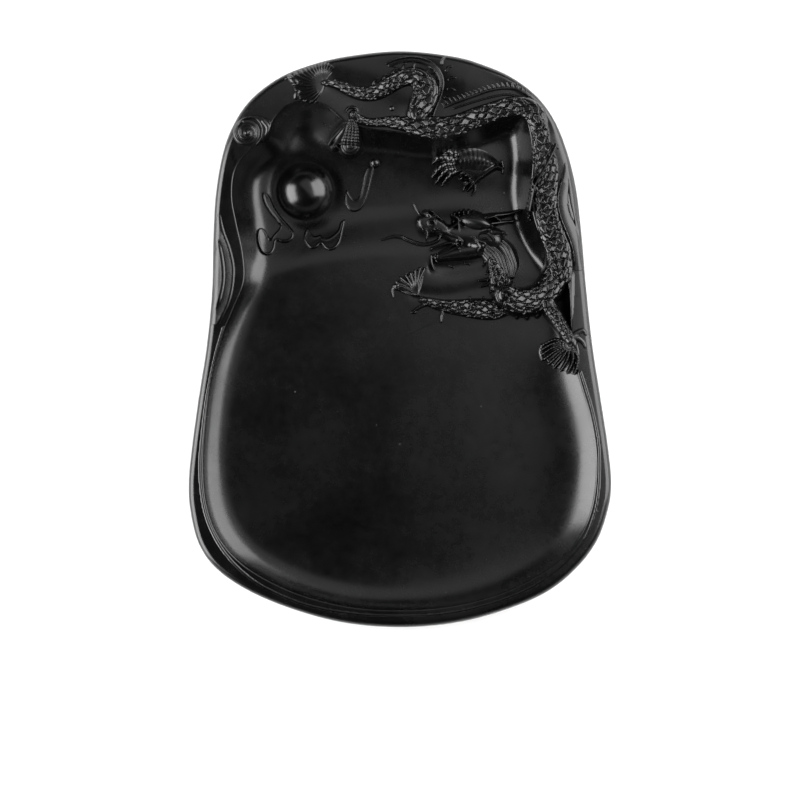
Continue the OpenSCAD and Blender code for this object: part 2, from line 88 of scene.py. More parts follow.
FLOOR_DOME = 1.3      # rise of the grinding floor's middle over its edge
DOME_MIDDLE = -22
DOME_REACH = 48, 54   # half its width and half its length
GENTLE_LENGTH = 5.2   # over which the wall of the grinding area dies away into its floor
POOL_WALL = 4.6       # width of the steep wall round the ink pool
POOL_HEAD = 2.0       # how much wider it is at the pool's head
POOL_CORNER = -22, 58, 14   # where it is that much wider: x, y and reach
POOL_RIGHT = 1.3      # how much narrower it is at the right
POOL_FILLET = 0.5     # share of it that is rounded into the pool's floor
CREASE_BLUR = 110     # passes that soften the creases in the basin's distance map
SUNK = 0.15      # how far a carving's patch dips below the stone's surface round its edge
ROOT = 0.6       # how far below the stone's surface its hidden underside lies


# ---------------------------------------------------------------- curves and distances

def spline(a, b, c, d, t):
    """Catmull-Rom point between b and c."""
    return (2 * b + (c - a) * t + (2 * a - 5 * b + 4 * c - d) * t ** 2 + (3 * b - a - 3 * c + d) * t ** 3) / 2


def smooth(points, steps, closed=False):
    """A smooth curve through points of x, y and any values after them."""
    p = np.array(points, float)
    if len(p) == 2 and not closed:
        return p
    k = len(p)
    curve = []
    for i in range(k if closed else k - 1):
        near = [(i + j) % k if closed else min(max(i + j, 0), k - 1) for j in (-1, 0, 1, 2)]
        a, b, c, d = p[near]
        curve += [spline(a, b, c, d, t) for t in np.arange(steps) / steps]
    curve.append(p[0] if closed else p[-1])
    return np.array(curve)


def nearest(curve, x, y):
    """Segment, share along it, distance and side of the nearest point of a curve, for flat arrays x and y."""
    a = curve[:-1, :2]
    e = curve[1:, :2] - a
    length2 = np.maximum((e ** 2).sum(1), 1e-12)
    segment = np.zeros(len(x), int)
    share = np.zeros(len(x))
    distance = np.zeros(len(x))
    side = np.zeros(len(x))
    block = 6000
    for start in range(0, len(x), block):
        part = slice(start, start + block)
        dx = x[part, None] - a[:, 0]
        dy = y[part, None] - a[:, 1]
        t = np.clip((dx * e[:, 0] + dy * e[:, 1]) / length2, 0, 1)
        d2 = (dx - t * e[:, 0]) ** 2 + (dy - t * e[:, 1]) ** 2
        i = d2.argmin(1)
        rows = np.arange(len(i))
        segment[part] = i
        share[part] = t[rows, i]
        distance[part] = np.sqrt(d2[rows, i])
        side[part] = np.sign(e[i, 0] * dy[rows, i] - e[i, 1] * dx[rows, i])
    return segment, share, distance, side


def inside(curve, x, y):
    """Whether each point lies in a closed curve."""
    odd = np.zeros(len(x), bool)
    for (x0, y0), (x1, y1) in zip(curve[:-1, :2], curve[1:, :2]):
        if y0 != y1:
            odd ^= ((y0 > y) != (y1 > y)) & (x < (x1 - x0) * (y - y0) / (y1 - y0) + x0)
    return odd


def eased(t):
    """0 up to t = 0, 1 from t = 1, and a smooth step between them."""
    u = np.clip(t, 0, 1)
    return u * u * (3 - 2 * u)


# ---------------------------------------------------------------- the stone's own surface

OUTLINE_POINTS = [
    (0, 75), (14, 73.6), (22, 71.3), (29, 68.2), (35.5, 63.3), (40, 57.3), (43.2, 49.7),
    (45.7, 40), (47.2, 28), (48.4, 14), (50, -1), (52.3, -16), (54.2, -28.5), (55, -37.7),
    (54.1, -44.5), (51.3, -52.4), (46, -59.5), (38.2, -65.8), (27, -70.6), (14, -73.9),
    (0, -75), (-14, -73.9), (-27, -70.6), (-38.8, -65.8), (-47.5, -60), (-52.3, -53.4),
    (-54.5, -45), (-55, -37.7), (-54.2, -28.5), (-52.5, -16), (-50.2, -1), (-48.9, 13),
    (-48.6, 26), (-47.9, 38), (-45.8, 49.5), (-42.4, 57.5), (-38, 63.2), (-31.2, 68.2),
    (-23.5, 71.3), (-14, 73.6)]
BASIN_POINTS = [
    (-24, 61.8), (-19, 60.2), (-14.5, 56.5), (-8, 54.5), (0, 53.5), (8, 52), (15, 53),
    (22, 55.5), (28, 57.8), (32.2, 57.4), (33.8, 53), (34.4, 46), (34, 40), (34.2, 34),
    (35.8, 28), (38.5, 22.5), (43, 16.5), (44.2, 9), (44.4, 2), (45.2, -5), (47.2, -12.5),
    (49.4, -20), (50.9, -29), (50.8, -38), (49.2, -46), (45.8, -52.6), (39.8, -58.8),
    (28, -65.4), (14, -69.3), (0, -70.4), (-14, -69.4), (-28, -65.6), (-40, -59.2),
    (-46.8, -52), (-50.2, -43.5), (-51.2, -33.5), (-50.6, -22), (-49, -10), (-46.4, 0),
    (-43.2, 8), (-40.5, 15), (-40.8, 22.5), (-42.4, 30), (-43.6, 37), (-42.8, 44),
    (-38.8, 49.4), (-34.4, 53.2), (-32.8, 57), (-29.4, 60.4)]

outline = smooth(OUTLINE_POINTS, 8, closed=True)
plan_low, plan_high = outline.min(0), outline.max(0)


def placed(points):
    """Drawn points in the stone's own frame, where the outline fills the CAD stone's box."""
    share = (points - plan_low) / (plan_high - plan_low)
    return STONE_LOW[:2] + share * (STONE_HIGH - STONE_LOW)[:2]


outline = placed(outline)
basin = placed(smooth(BASIN_POINTS, 6, closed=True))


class DistanceMap:
    """Distance in from a closed curve, on a grid that other points are read from."""

    PITCH = 0.3
    MARGIN = 3.0

    def __init__(self, curve, blur=0):
        low = STONE_LOW[:2] - self.MARGIN
        high = STONE_HIGH[:2] + self.MARGIN
        self.low = low
        xs = np.arange(low[0], high[0] + self.PITCH, self.PITCH)
        ys = np.arange(low[1], high[1] + self.PITCH, self.PITCH)
        x, y = np.meshgrid(xs, ys)
        distance = nearest(curve, x.ravel(), y.ravel())[2]
        sign = np.where(inside(curve, x.ravel(), y.ravel()), 1, -1)
        self.grid = (distance * sign).reshape(x.shape)
        for _ in range(blur):
            g = np.pad(self.grid, 1, mode="edge")
            self.grid = (4 * g[1:-1, 1:-1] + g[:-2, 1:-1] + g[2:, 1:-1] + g[1:-1, :-2] + g[1:-1, 2:]) / 8

    def __call__(self, x, y):
        u = np.clip((x - self.low[0]) / self.PITCH, 0, self.grid.shape[1] - 1.001)
        v = np.clip((y - self.low[1]) / self.PITCH, 0, self.grid.shape[0] - 1.001)
        i, j = u.astype(int), v.astype(int)
        s, t = u - i, v - j
        g = self.grid
        lower = g[j, i] * (1 - s) + g[j, i + 1] * s
        upper = g[j + 1, i] * (1 - s) + g[j + 1, i + 1] * s
        return lower * (1 - t) + upper * t


into_basin = DistanceMap(basin)
into_basin_soft = DistanceMap(basin, blur=CREASE_BLUR)
into_stone = DistanceMap(outline)

# Where the ground is cut away round the carving: x, y and half width, then depth.
HOLLOWS = [
    ([(-17, 66.6, 3.5), (-12, 65, 4.6), (-6, 65.2, 5.4), (0, 68, 5.4), (6, 68.5, 5.2), (8.5, 64, 5),
      (6, 59, 5)], 0.9),
    ([(-10, 58, 3.4), (-4, 59.5, 4.4), (3, 59, 5)], 0.7),
    ([(14, 60.5, 4.5), (20, 62.4, 5), (27, 64, 4.6), (34, 62.5, 3.6), (38.6, 56.5, 2.6)], 0.8),
    ([(9, 18.8, 1.4), (12.5, 18.6, 2), (17, 19.2, 2.2), (22, 20, 2)], 0.8),
    ([(4, 12.2, 1.2), (9, 11.4, 1.8), (14, 11.6, 2.2), (20, 12.8, 2.4), (24, 13.4, 2)], 0.35)]
HOLLOW_REACH = 8      # how far from its line a hollow is still felt


# Low mounds under the head and the raised arm: middle, reach to the left, the right and in y, then rise.
MOUNDS = [(17, 31, 11, 14, 4.6, 2.1), (17, 46, 10, 10, 6, 1.2)]


def ground(x, y):
    """The grinding floor, a little proud in its middle, and the slope down to the ink pool."""
    start = SLOPE_START - SLOPE_BOW * x * x
    across, along = DOME_REACH
    dome = FLOOR_DOME * np.clip(1 - (x / across) ** 2 - ((y - DOME_MIDDLE) / along) ** 2, 0, 1)
    mound = 0.0
    for middle_x, middle_y, left, right, half, rise in MOUNDS:
        reach = np.where(x > middle_x, right, left)
        mound = mound + rise * np.exp(-((x - middle_x) / reach) ** 2 - ((y - middle_y) / half) ** 2)
    return FLOOR - FLOOR_DOME / 2 + dome + mound - (FLOOR - POOL) * eased((y - start) / SLOPE_LENGTH)


def wall_share(x, y, within):
    """Share of its depth that the basin has reached at a distance in from its edge. The wall is round at the
    shoulders, dies away slowly round the grinding floor and is steep round the pool."""
    cosine = 1 - np.clip(within / WALL_WIDTH, 0, 1)
    share = np.sqrt(1 - cosine ** 2)
    gentle = 1 - np.exp(-within / GENTLE_LENGTH)
    share += (gentle - share) * eased((8 - y) / 20) * (0.45 + 0.55 * eased((x + 15) / 40))
    corner_x, corner_y, reach = POOL_CORNER
    corner = np.exp(-((x - corner_x) ** 2 + (y - corner_y) ** 2) / reach ** 2)
    t = within / (POOL_WALL + POOL_HEAD * corner - POOL_RIGHT * eased(x / 20))
    start = (1 - math.hypot(1, POOL_FILLET)) / 2
    steep = ((t + 1 - np.hypot(t - 1, POOL_FILLET)) / 2 - start) / (1 - start)
    return share + (steep - share) * eased((y - 8) / 16)


def rim_fall(x, y):
    """How far the rim drops towards the stone's edge, which differs round the stone."""
    return 0.3 + 0.35 * eased((x + 60) / 110) + 0.2 * eased((y - 20) / 50) - 0.15 * eased((-y - 30) / 40)


def cut_hollows(z, x, y, into):
    """Cuts the ground away round the carving, but not in the stone's outer edge."""
    for line, depth in HOLLOWS:
        curve = smooth(line, 4)
        low, high = curve.min(0)[:2] - HOLLOW_REACH, curve.max(0)[:2] + HOLLOW_REACH
        near = (x > low[0]) & (x < high[0]) & (y > low[1]) & (y < high[1])
        if near.any():
            i, t, away, _ = nearest(curve, x[near], y[near])
            width = curve[i, 2] * (1 - t) + curve[i + 1, 2] * t
            z[near] -= depth * np.exp(-(away / width) ** 2) * np.clip((into[near] - 0.2) / 2.5, 0, 1)


def quarter_round(radius, bend):
    """Height of a rounded edge's surface over its centre, at a distance of bend from its flat end."""
    return np.sqrt(radius ** 2 - bend ** 2)


def stone_top(x, y):
    """Height of the stone's upper surface."""
    x, y = np.asarray(x, float), np.asarray(y, float)
    into = into_stone(x, y)
    from_edge = into_basin(x, y)
    within = np.maximum(from_edge, 0)
    within = within + (into_basin_soft(x, y) - within) * eased(within / 2.5)
    brink = RIM - BASIN_EDGE
    bowl = brink - (brink - ground(x, y)) * wall_share(x, y, within)
    lip = brink + quarter_round(BASIN_EDGE, np.clip(from_edge + BASIN_EDGE, 0, BASIN_EDGE))
    in_basin = from_edge > 0
    z = np.where(in_basin, bowl, lip)
    z = z - rim_fall(x, y) * np.where(in_basin, 0, 1) * np.clip(1 - into / 7, 0, 1) ** 2
    z = z - (RIM_EDGE - quarter_round(RIM_EDGE, np.clip(RIM_EDGE - into, 0, RIM_EDGE)))
    cut_hollows(z, x, y, into)
    out = np.hypot(x - PEARL[0], y - PEARL[1]) - PEARL_RADIUS
    return z + (POOL - MOAT_DEPTH - z) * (1 - eased(out / MOAT_WIDTH))


# ---------------------------------------------------------------- meshes

def make_piece(name, vertices, faces, material, *nodes):
    """A smooth-shaded piece on the one body, which stands for the CAD nodes named."""
    mesh = bpy.data.meshes.new(name)
    mesh.from_pydata((np.asarray(vertices) * MM).tolist(), [], faces)
    mesh.polygons.foreach_set("use_smooth", [True] * len(mesh.polygons))
    mesh.update()
    piece = bpy.data.objects.new(name, mesh)
    bpy.context.scene.collection.objects.link(piece)
    mesh.materials.append(material)
    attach(piece, "root")
    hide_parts(*nodes)
    return piece


def ring_faces(rows, count, first, last):
    """Quads between rings of points, and triangles that close the first and last ring on a centre point."""
    i = np.arange(count)
    j = (i + 1) % count
    faces = []
    for r in range(rows - 1):
        a, b = r * count, (r + 1) * count
        faces += np.stack([a + i, a + j, b + j, b + i], 1).tolist()
    faces += [(first, b, a) for a, b in zip(i.tolist(), j.tolist())]
    top = (rows - 1) * count
    faces += [(last, top + a, top + b) for a, b in zip(i.tolist(), j.tolist())]
    return faces


def polar(curve, angles):
    """Radius of a closed curve round the middle of the stone, at each angle."""
    angle = np.arctan2(curve[:-1, 1], curve[:-1, 0])
    radius = np.hypot(curve[:-1, 0], curve[:-1, 1])
    order = np.argsort(angle)
    return np.interp(angles, angle[order], radius[order], period=2 * math.pi)


def make_stone(material):
    """The block: underside, rounded foot, side, rounded rim, basin and pool, as rings of points."""
    count = 720
    wall_insets = (-0.4, -0.25, -0.1, 0.02, 0.12, 0.3, 0.6, 1, 1.5, 2, 2.5, 3, 3.5, 4, 4.6, 5.2, 5.9, 6.7,
                   7.5, 8.5)
    angles = np.arange(count) * 2 * math.pi / count - math.pi
    direction = np.stack([np.cos(angles), np.sin(angles)], 1)
    outer = polar(outline, angles)
    inner = polar(basin, angles)
    rings = []

    def side(inset, z):
        rings.append(np.column_stack([direction * (outer - inset)[:, None], np.full(count, z)]))

    def top(radius):
        x, y = (direction * radius[:, None]).T
        rings.append(np.column_stack([x, y, stone_top(x, y)]))

    for turn in np.radians([0, 18, 36, 54, 72, 90]):
        side(FOOT_EDGE * (1 - math.sin(turn)), FOOT_EDGE * (1 - math.cos(turn)))
    for share in (0.2, 0.4, 0.6, 0.8):
        side(0, FOOT_EDGE + share * (RIM - RIM_EDGE - FOOT_EDGE))
    for turn in np.radians([0, 12, 24, 36, 48, 60, 72, 84]):
        top(outer - RIM_EDGE * (1 - math.cos(turn)))
    gap = outer - RIM_EDGE - inner
    for share in np.linspace(0, 1, 17):
        top(inner + gap * (1 - share) + 0.55 * share)
    for inset in wall_insets:
        top(inner - inset)
    for share in np.linspace(0.98, 0.02, 62):
        top((inner - wall_insets[-1]) * share)
    vertices = np.concatenate(rings + [[[0, 0, 0]], [[0, 0, float(stone_top([0.0], [0.0])[0])]]])
    faces = ring_faces(len(rings), count, len(vertices) - 2, len(vertices) - 1)
    return make_piece("stone", vertices, faces, material, "stone_body")


# ---------------------------------------------------------------- carving

# Profiles of a stroke: its height at u, from 0 on its middle line to 1 at its edge.

def rounded(u):
    return np.sqrt(np.maximum(1 - u * u, 0))


def full(u):
    return np.sqrt(np.maximum(1 - u ** 4, 0))


def soft(u):
    return (1 - u * u) ** 2


class Carving:
    """A patch of relief over the stone. Strokes raise it, grooves cut it, and make() turns it into a closed
    mesh that replaces the CAD nodes named. The patch also spans the nodes in around."""

    EDGE_CLEAR = 0.4     # width along the stone's outer edge that stays uncarved
    EDGE_FADE = 0.9      # width beyond it over which the relief rises
    LEAST = 0.015        # relief that is lower than this isn't meshed

    def __init__(self, *nodes, margin=1.0, step=0.15, around=()):
        boxes = [box_of(n) for n in (*nodes, *around)]
        low = np.min([b[0] for b in boxes], 0)[:2] - margin
        high = np.max([b[1] for b in boxes], 0)[:2] + margin
        self.nodes = nodes
        self.x, self.y = np.meshgrid(np.arange(low[0], high[0], step), np.arange(low[1], high[1], step))
        self.stone = stone_top(self.x, self.y)
        self.z = self.stone - SUNK

    def near(self, points, reach, closed=False):
        """The grid points within reach of a curve, their place along and across it, its values and itself."""
        curve = smooth(points, 8, closed)
        low, high = curve.min(0)[:2] - reach, curve.max(0)[:2] + reach
        at = np.nonzero((self.x > low[0]) & (self.x < high[0]) & (self.y > low[1]) & (self.y < high[1]))
        x, y = self.x[at], self.y[at]
        i, t, away, side = nearest(curve, x, y)
        steps = np.hypot(*np.diff(curve[:, :2], axis=0).T)
        along = np.concatenate([[0], np.cumsum(steps)])[i] + t * steps[i]
        values = curve[i] * (1 - t)[:, None] + curve[i + 1] * t[:, None]
        return at, along, away * side, values, curve

    def raise_to(self, at, z, join=0.0):
        """Raises grid points to z. With join, what was there and what is new run into each other."""
        old = self.z[at]
        if join:
            blend = (old + z + np.sqrt((old - z) ** 2 + join ** 2)) / 2
            both = (old > self.stone[at]) & (z > self.stone[at])
            self.z[at] = np.where(both, blend, np.maximum(old, z))
        else:
            self.z[at] = np.maximum(old, z)

    def stroke(self, points, top=None, rise=None, profile=rounded, texture=None, join=0.0):
        """Raises a rounded stroke through points of x, y and width. top is a height, rise is above the stone,
        and a fourth value of each point adds to either."""
        points = np.array(points, float)
        at, along, across, values, _ = self.near(points, points[:, 2].max() / 2 + 0.3)
        half = np.maximum(values[:, 2] / 2, 0.05)
        u = np.abs(across) / half
        base = self.stone[at]
        extra = values[:, 3] if points.shape[1] > 3 else 0
        peak = (top if top is not None else base + rise) + extra
        shape = profile(np.clip(u, 0, 1))
        z = base + (peak - base) * shape
        if texture is not None:
            z = z + texture(along, across, half) * np.clip(1 - u ** 4, 0, 1)
        self.raise_to(at, np.where(u < 1, z, base - SUNK), join)

    def oval(self, x, y, width, length, turn):
        """Distance from the middle of an oval, as a share of the way to its edge."""
        c, s = math.cos(math.radians(turn)), math.sin(math.radians(turn))
        dx, dy = self.x - x, self.y - y
        return np.hypot((dx * c + dy * s) / ((length or width) / 2), (dy * c - dx * s) / (width / 2))

    def bump(self, x, y, width, top=None, rise=None, length=None, turn=0, profile=rounded, join=0.0):
        """Raises one oval bump, length by width, its length turned from +X."""
        u = self.oval(x, y, width, length, turn)
        at = np.nonzero(u < 1)
        base = self.stone[at]
        peak = top if top is not None else base + rise
        self.raise_to(at, base + (peak - base) * profile(u[at]), join)

    def lift(self, x, y, width, rise, length=None, turn=0):
        """Swells what is already carved, as a muscle or a cheek does."""
        u = self.oval(x, y, width, length, turn)
        raised = self.z > self.stone
        self.z = np.where((u < 1) & raised, self.z + rise * soft(np.clip(u, 0, 1)), self.z)

    def groove(self, points, width, depth, profile=soft):
        """Cuts a groove into what is already carved."""
        at, _, across, _, _ = self.near(points, width)
        u = np.clip(np.abs(across) / (width / 2), 0, 1)
        raised = self.z[at] > self.stone[at]
        self.z[at] -= np.where(raised, depth * profile(u), 0)

    def plateau(self, outline_points, rise, edge=0.5, lip=0.0, top=None):
        """Raises a flat shape inside a closed outline, with a thin lip along its edge."""
        at, _, across, _, curve = self.near(outline_points, 0.5, closed=True)
        within = inside(curve, self.x[at], self.y[at])
        depth = np.abs(across)
        base = self.stone[at]
        peak = (base + rise) if top is None else top
        z = base + (peak - base) * np.sqrt(1 - (1 - np.clip(depth / edge, 0, 1)) ** 2)
        z += lip * np.exp(-((depth - 0.35) / 0.22) ** 2)
        self.raise_to(at, np.where(within, z, base - SUNK))

    def make(self, name, material, blur=1):
        """Turns the patch into a closed mesh and a piece."""
        z = self.z
        for _ in range(blur):
            wide = np.pad(z, 1, mode="edge")
            mean = (wide[1:-1, :-2] + wide[1:-1, 2:] + wide[:-2, 1:-1] + wide[2:, 1:-1]) / 4
            z = z * 0.6 + mean * 0.4
        into = into_stone(self.x, self.y)
        fade = np.clip((into - self.EDGE_CLEAR) / self.EDGE_FADE, 0, 1)
        z = np.where(z > self.stone, self.stone + (z - self.stone) * fade, z)
        z = np.maximum(z, self.stone - SUNK)
        shows = (z > self.stone + self.LEAST) & (into > self.EDGE_CLEAR)
        kept = shows[:-1, :-1] | shows[1:, :-1] | shows[:-1, 1:] | shows[1:, 1:]
        kept[[0, -1], :] = False
        kept[:, [0, -1]] = False
        kept = self.joined(kept)
        corner = np.zeros(z.shape, bool)
        for dj, di in ((0, 0), (0, 1), (1, 0), (1, 1)):
            corner[dj:dj + kept.shape[0], di:di + kept.shape[1]] |= kept
        index = np.full(z.shape, -1)
        count = int(corner.sum())
        index[corner] = np.arange(count)
        top = np.column_stack([self.x[corner], self.y[corner], z[corner]])
        under = np.column_stack([self.x[corner], self.y[corner], self.stone[corner] - ROOT])
        j, i = np.nonzero(kept)
        a, b, c, d = index[j, i], index[j, i + 1], index[j + 1, i + 1], index[j + 1, i]
        faces = [np.stack([a, b, c, d], 1), np.stack([d, c, b, a], 1) + count]
        padded = np.pad(kept, 1)
        for start, end, dj, di in ((a, b, -1, 0), (b, c, 0, 1), (c, d, 1, 0), (d, a, 0, -1)):
            open_side = ~padded[j + 1 + dj, i + 1 + di]
            s, e = start[open_side], end[open_side]
            faces.append(np.stack([e, s, s + count, e + count], 1))
        vertices = np.concatenate([top, under])
        return make_piece(name, vertices, np.concatenate(faces).tolist(), material, *self.nodes)

    @staticmethod
    def joined(kept):
        """Fills in cells until no two meet at a corner alone, so that the mesh stays a clean solid."""
        for _ in range(8):
            a, b, c, d = kept[:-1, :-1], kept[:-1, 1:], kept[1:, :-1], kept[1:, 1:]
            bad = (a & d & ~b & ~c) | (b & c & ~a & ~d)
            if not bad.any():
                break
            kept = kept.copy()
            for dj, di in ((0, 0), (0, 1), (1, 0), (1, 1)):
                kept[dj:dj + bad.shape[0], di:di + bad.shape[1]] |= bad
        return kept


# ---------------------------------------------------------------- textures that strokes carry

def jitter(row, column):
    """A repeatable number from 0 to 1 for each scale."""
    v = np.sin(row * 12.9898 + column * 78.233) * 43758.5453
    return v - np.floor(v)


def scales(pitch, height, slant=0.9):
    """Hand-cut scales: staggered lozenges, each tipped its own way, with grooves between them."""
    def texture(along, across, half):
        around = np.arcsin(np.clip(across / half, -0.98, 0.98)) * half
        best = np.full(along.shape, np.inf)
        second, ahead, aside, turn, lift = best.copy(), best.copy(), best.copy(), best.copy(), best.copy()
        for i in (-1, 0, 1):
            for j in (-1, 0, 1):
                row = np.floor(along / pitch) + i
                column = np.floor(around / pitch - 0.5 * (row % 2)) + j
                chance, other = jitter(row, column), jitter(column + 31, row + 7)
                ds = along - (row + 0.5 + 0.45 * (chance - 0.5)) * pitch
                du = around - (column + 0.5 + 0.5 * (row % 2) + 0.45 * (other - 0.5)) * pitch
                d = np.abs(ds) * 0.8 + np.abs(du) * 0.9 + 0.25 * np.hypot(ds, du)
                closer = d < best
                second = np.where(closer, best, np.minimum(second, d))
                best = np.where(closer, d, best)
                ahead, aside = np.where(closer, ds, ahead), np.where(closer, du, aside)
                turn, lift = np.where(closer, other - 0.5, turn), np.where(closer, chance, lift)
        edge = np.clip((second - best) / (0.45 * pitch), 0, 1) ** 0.6
        tip = slant * (ahead * (0.6 + 0.8 * lift) + 1.6 * turn * aside) / pitch
        return height * (edge * (0.7 + 0.5 * lift) + tip * edge - 0.5)
    return texture


def strands(count, depth):
    """Fine strands of hair side by side along a stroke."""
    def texture(along, across, half):
        phase = across / half * count + 0.35 * np.sin(along * 0.9)
        return depth * (np.abs(np.cos(phase * math.pi / 2)) - 0.6)
    return texture


def beads(pitch, height):
    """A row of beads along a stroke."""
    def texture(along, across, half):
        return height * (np.abs(np.cos(along / pitch * math.pi)) - 0.5)
    return texture


def circle(x, y, radius, width, steps):
    """Points of a stroke round a circle."""
    return [(x + radius * math.cos(a), y + radius * math.sin(a), width) for a in np.linspace(0, 2 * math.pi,
                                                                                             steps)]


def rings(pitch, depth):
    """Rings across a stroke, as on a horn or a belly."""
    def texture(along, across, half):
        phase = along / pitch + 0.4 * (across / half) ** 2
        return depth * (np.abs(np.cos(phase * math.pi)) - 0.6)
    return texture


def checks(columns, pitch, height):
    """Columns of small square beads."""
    def texture(along, across, half):
        column = np.abs(np.sin((across / half + 1) * columns * math.pi / 2)) ** 0.5
        bead = np.abs(np.sin(along / pitch * math.pi)) ** 0.5
        return height * (column * (0.4 + 0.6 * bead) - 0.6)
    return texture


def fan_of(carving, root, tips, top, rise, width=1.1, web=0.45, texture=None, bend=0.12, root_width=1.3):
    """Rays from one raised point to low tips, over a thinner web."""
    root = np.array(root, float)
    tips = [np.array(t, float) for t in tips]
    web_line = [tuple(root)] + [tuple(root + (t - root) * 0.96) for t in tips]
    at, _, _, _, curve = carving.near(web_line, 0.4, closed=True)
    within = inside(curve, carving.x[at], carving.y[at])
    reach = max(np.hypot(*(t - root)) for t in tips)
    base = carving.stone[at]
    out = np.clip(np.hypot(carving.x[at] - root[0], carving.y[at] - root[1]) / reach, 0, 1)
    z = base + (top - base) * (1 - out) ** 1.6 * web * 1.6 + rise * web
    carving.raise_to(at, np.where(within, z, base - SUNK))
    middle = (len(tips) - 1) / 2
    for i, tip in enumerate(tips):
        across_way = np.array([-(tip - root)[1], (tip - root)[0]])
        half_way = root + (tip - root) * 0.5 + across_way * bend * (i - middle) / max(middle, 1)
        root_z = top - float(stone_top([root[0]], [root[1]])[0])
        middle_z = root_z * 0.35 + rise * 0.9
        line = [(*root, root_width, root_z), (*half_way, width, middle_z), (*tip, width * 0.9, rise)]
        carving.stroke(line, rise=0.0, texture=texture)


# ---------------------------------------------------------------- materials

def stone_material(name, roughness, base=0.0006, mottle=1.0, polish=0.0):
    """Fine black stone: faint clouding, pale specks, hair scratches and a surface that isn't quite even."""
    material = bpy.data.materials.new(name)
    material.use_nodes = True
    nodes, links = material.node_tree.nodes, material.node_tree.links
    nodes.clear()

    def node(kind, values=None, **settings):
        """A node with its settings, and the values of its inputs by name or number."""
        made = nodes.new(kind)
        for key, value in settings.items():
            setattr(made, key, value)
        for key, value in (values or {}).items():
            made.inputs[key].default_value = value
        return made

    def wire(a, out, b, into):
        links.new(a.outputs[out], b.inputs[into])

    def noise(source, out, scale, detail, rough):
        made = node("ShaderNodeTexNoise", {"Scale": scale, "Detail": detail, "Roughness": rough})
        wire(source, out, made, "Vector")
        return made

    def ranged(source, out, low, high, to_low=0.0, to_high=1.0, **settings):
        limits = {"From Min": low, "From Max": high, "To Min": to_low, "To Max": to_high}
        made = node("ShaderNodeMapRange", limits, **settings)
        wire(source, out, made, "Value")
        return made

    output = node("ShaderNodeOutputMaterial")
    shader = node("ShaderNodeBsdfPrincipled")
    wire(shader, "BSDF", output, "Surface")
    place = node("ShaderNodeTexCoord")

    # Clouding of the stone, broad and then fine.
    broad = noise(place, "Object", 38.0, 5.0, 0.6)
    fine = noise(place, "Object", 420.0, 4.0, 0.65)
    both = node("ShaderNodeMix", {0: 0.3}, data_type="FLOAT")
    wire(broad, "Fac", both, 2)
    wire(fine, "Fac", both, 3)
    tone = node("ShaderNodeValToRGB")
    dark, light = tone.color_ramp.elements
    dark_tone, light_tone = base * (1 - 0.35 * mottle), base * (1 + 0.8 * mottle)
    dark.position, light.position = 0.32, 0.72
    dark.color = (dark_tone, dark_tone, base, 1)
    light.color = (light_tone, light_tone, light_tone * 1.04, 1)
    wire(both, 0, tone, "Fac")

    # Tiny pale grains, few and far between.
    grains = node("ShaderNodeTexVoronoi", {"Scale": 330.0})
    wire(place, "Object", grains, "Vector")
    dot = ranged(grains, "Distance", 0.10, 0.02, interpolation_type="SMOOTHSTEP")
    rare = node("ShaderNodeSeparateColor")
    wire(grains, "Color", rare, "Color")
    few = node("ShaderNodeMath", {1: 0.965}, operation="GREATER_THAN")
    wire(rare, "Red", few, 0)
    speck = node("ShaderNodeMath", operation="MULTIPLY")
    wire(dot, "Result", speck, 0)
    wire(few, "Value", speck, 1)
    colour = node("ShaderNodeMix", {7: (0.05, 0.05, 0.052, 1)}, data_type="RGBA")
    wire(speck, "Value", colour, 0)
    wire(tone, "Color", colour, 6)
    wire(colour, 2, shader, "Base Color")

    # Rubbing marks: long noise along a slightly turned axis.
    turned = node("ShaderNodeMapping", {"Rotation": (0, 0, math.radians(28)), "Scale": (60, 1700, 60)})
    wire(place, "Object", turned, "Vector")
    rub = noise(turned, "Vector", 1.0, 3.0, 0.55)
    scratch = ranged(rub, "Fac", 0.7, 0.86)

    # Worn edges are smoother than the hollows, and clouding changes the gloss a little.
    wear = node("ShaderNodeNewGeometry")
    worn = ranged(wear, "Pointiness", 0.50, 0.58, 0.0, -0.07)
    gloss = ranged(both, 0, 0.3, 0.7, roughness - 0.08, roughness + 0.07)
    with_wear = node("ShaderNodeMath", operation="ADD")
    wire(gloss, "Result", with_wear, 0)
    wire(worn, "Result", with_wear, 1)
    with_marks = node("ShaderNodeMath", {1: 0.08}, operation="MULTIPLY_ADD")
    wire(scratch, "Result", with_marks, 0)
    wire(with_wear, "Value", with_marks, 2)
    wire(with_marks, "Value", shader, "Roughness")

    # A hand-rubbed surface: long low waves, a fine tooth, and the rubbing marks cut in.
    waves = noise(place, "Object", 110.0, 2.0, 0.5)
    tooth = noise(place, "Object", 2400.0, 2.0, 0.6)
    below = None
    for source, out, strength, distance, inverted in (
            (waves, "Fac", 0.25 * (1 - polish), 0.0002, False), (tooth, "Fac", 0.35 * (1 - polish), 0.00002,
                                                                 False),
            (scratch, "Result", 0.12, 0.00003, True)):
        bump = node("ShaderNodeBump", {"Strength": strength, "Distance": distance}, invert=inverted)
        wire(source, out, bump, "Height")
        if below:
            wire(below, "Normal", bump, "Normal")
        below = bump
    wire(below, "Normal", shader, "Normal")
    return material


STONE = stone_material("rubbed_black_stone", roughness=0.27)
CARVED = stone_material("carved_black_stone", roughness=0.3, mottle=0.7)
POLISHED = stone_material("polished_black_stone", roughness=0.24, mottle=0.6, polish=0.6)


# ---------------------------------------------------------------- the stone, its pearl and its clouds

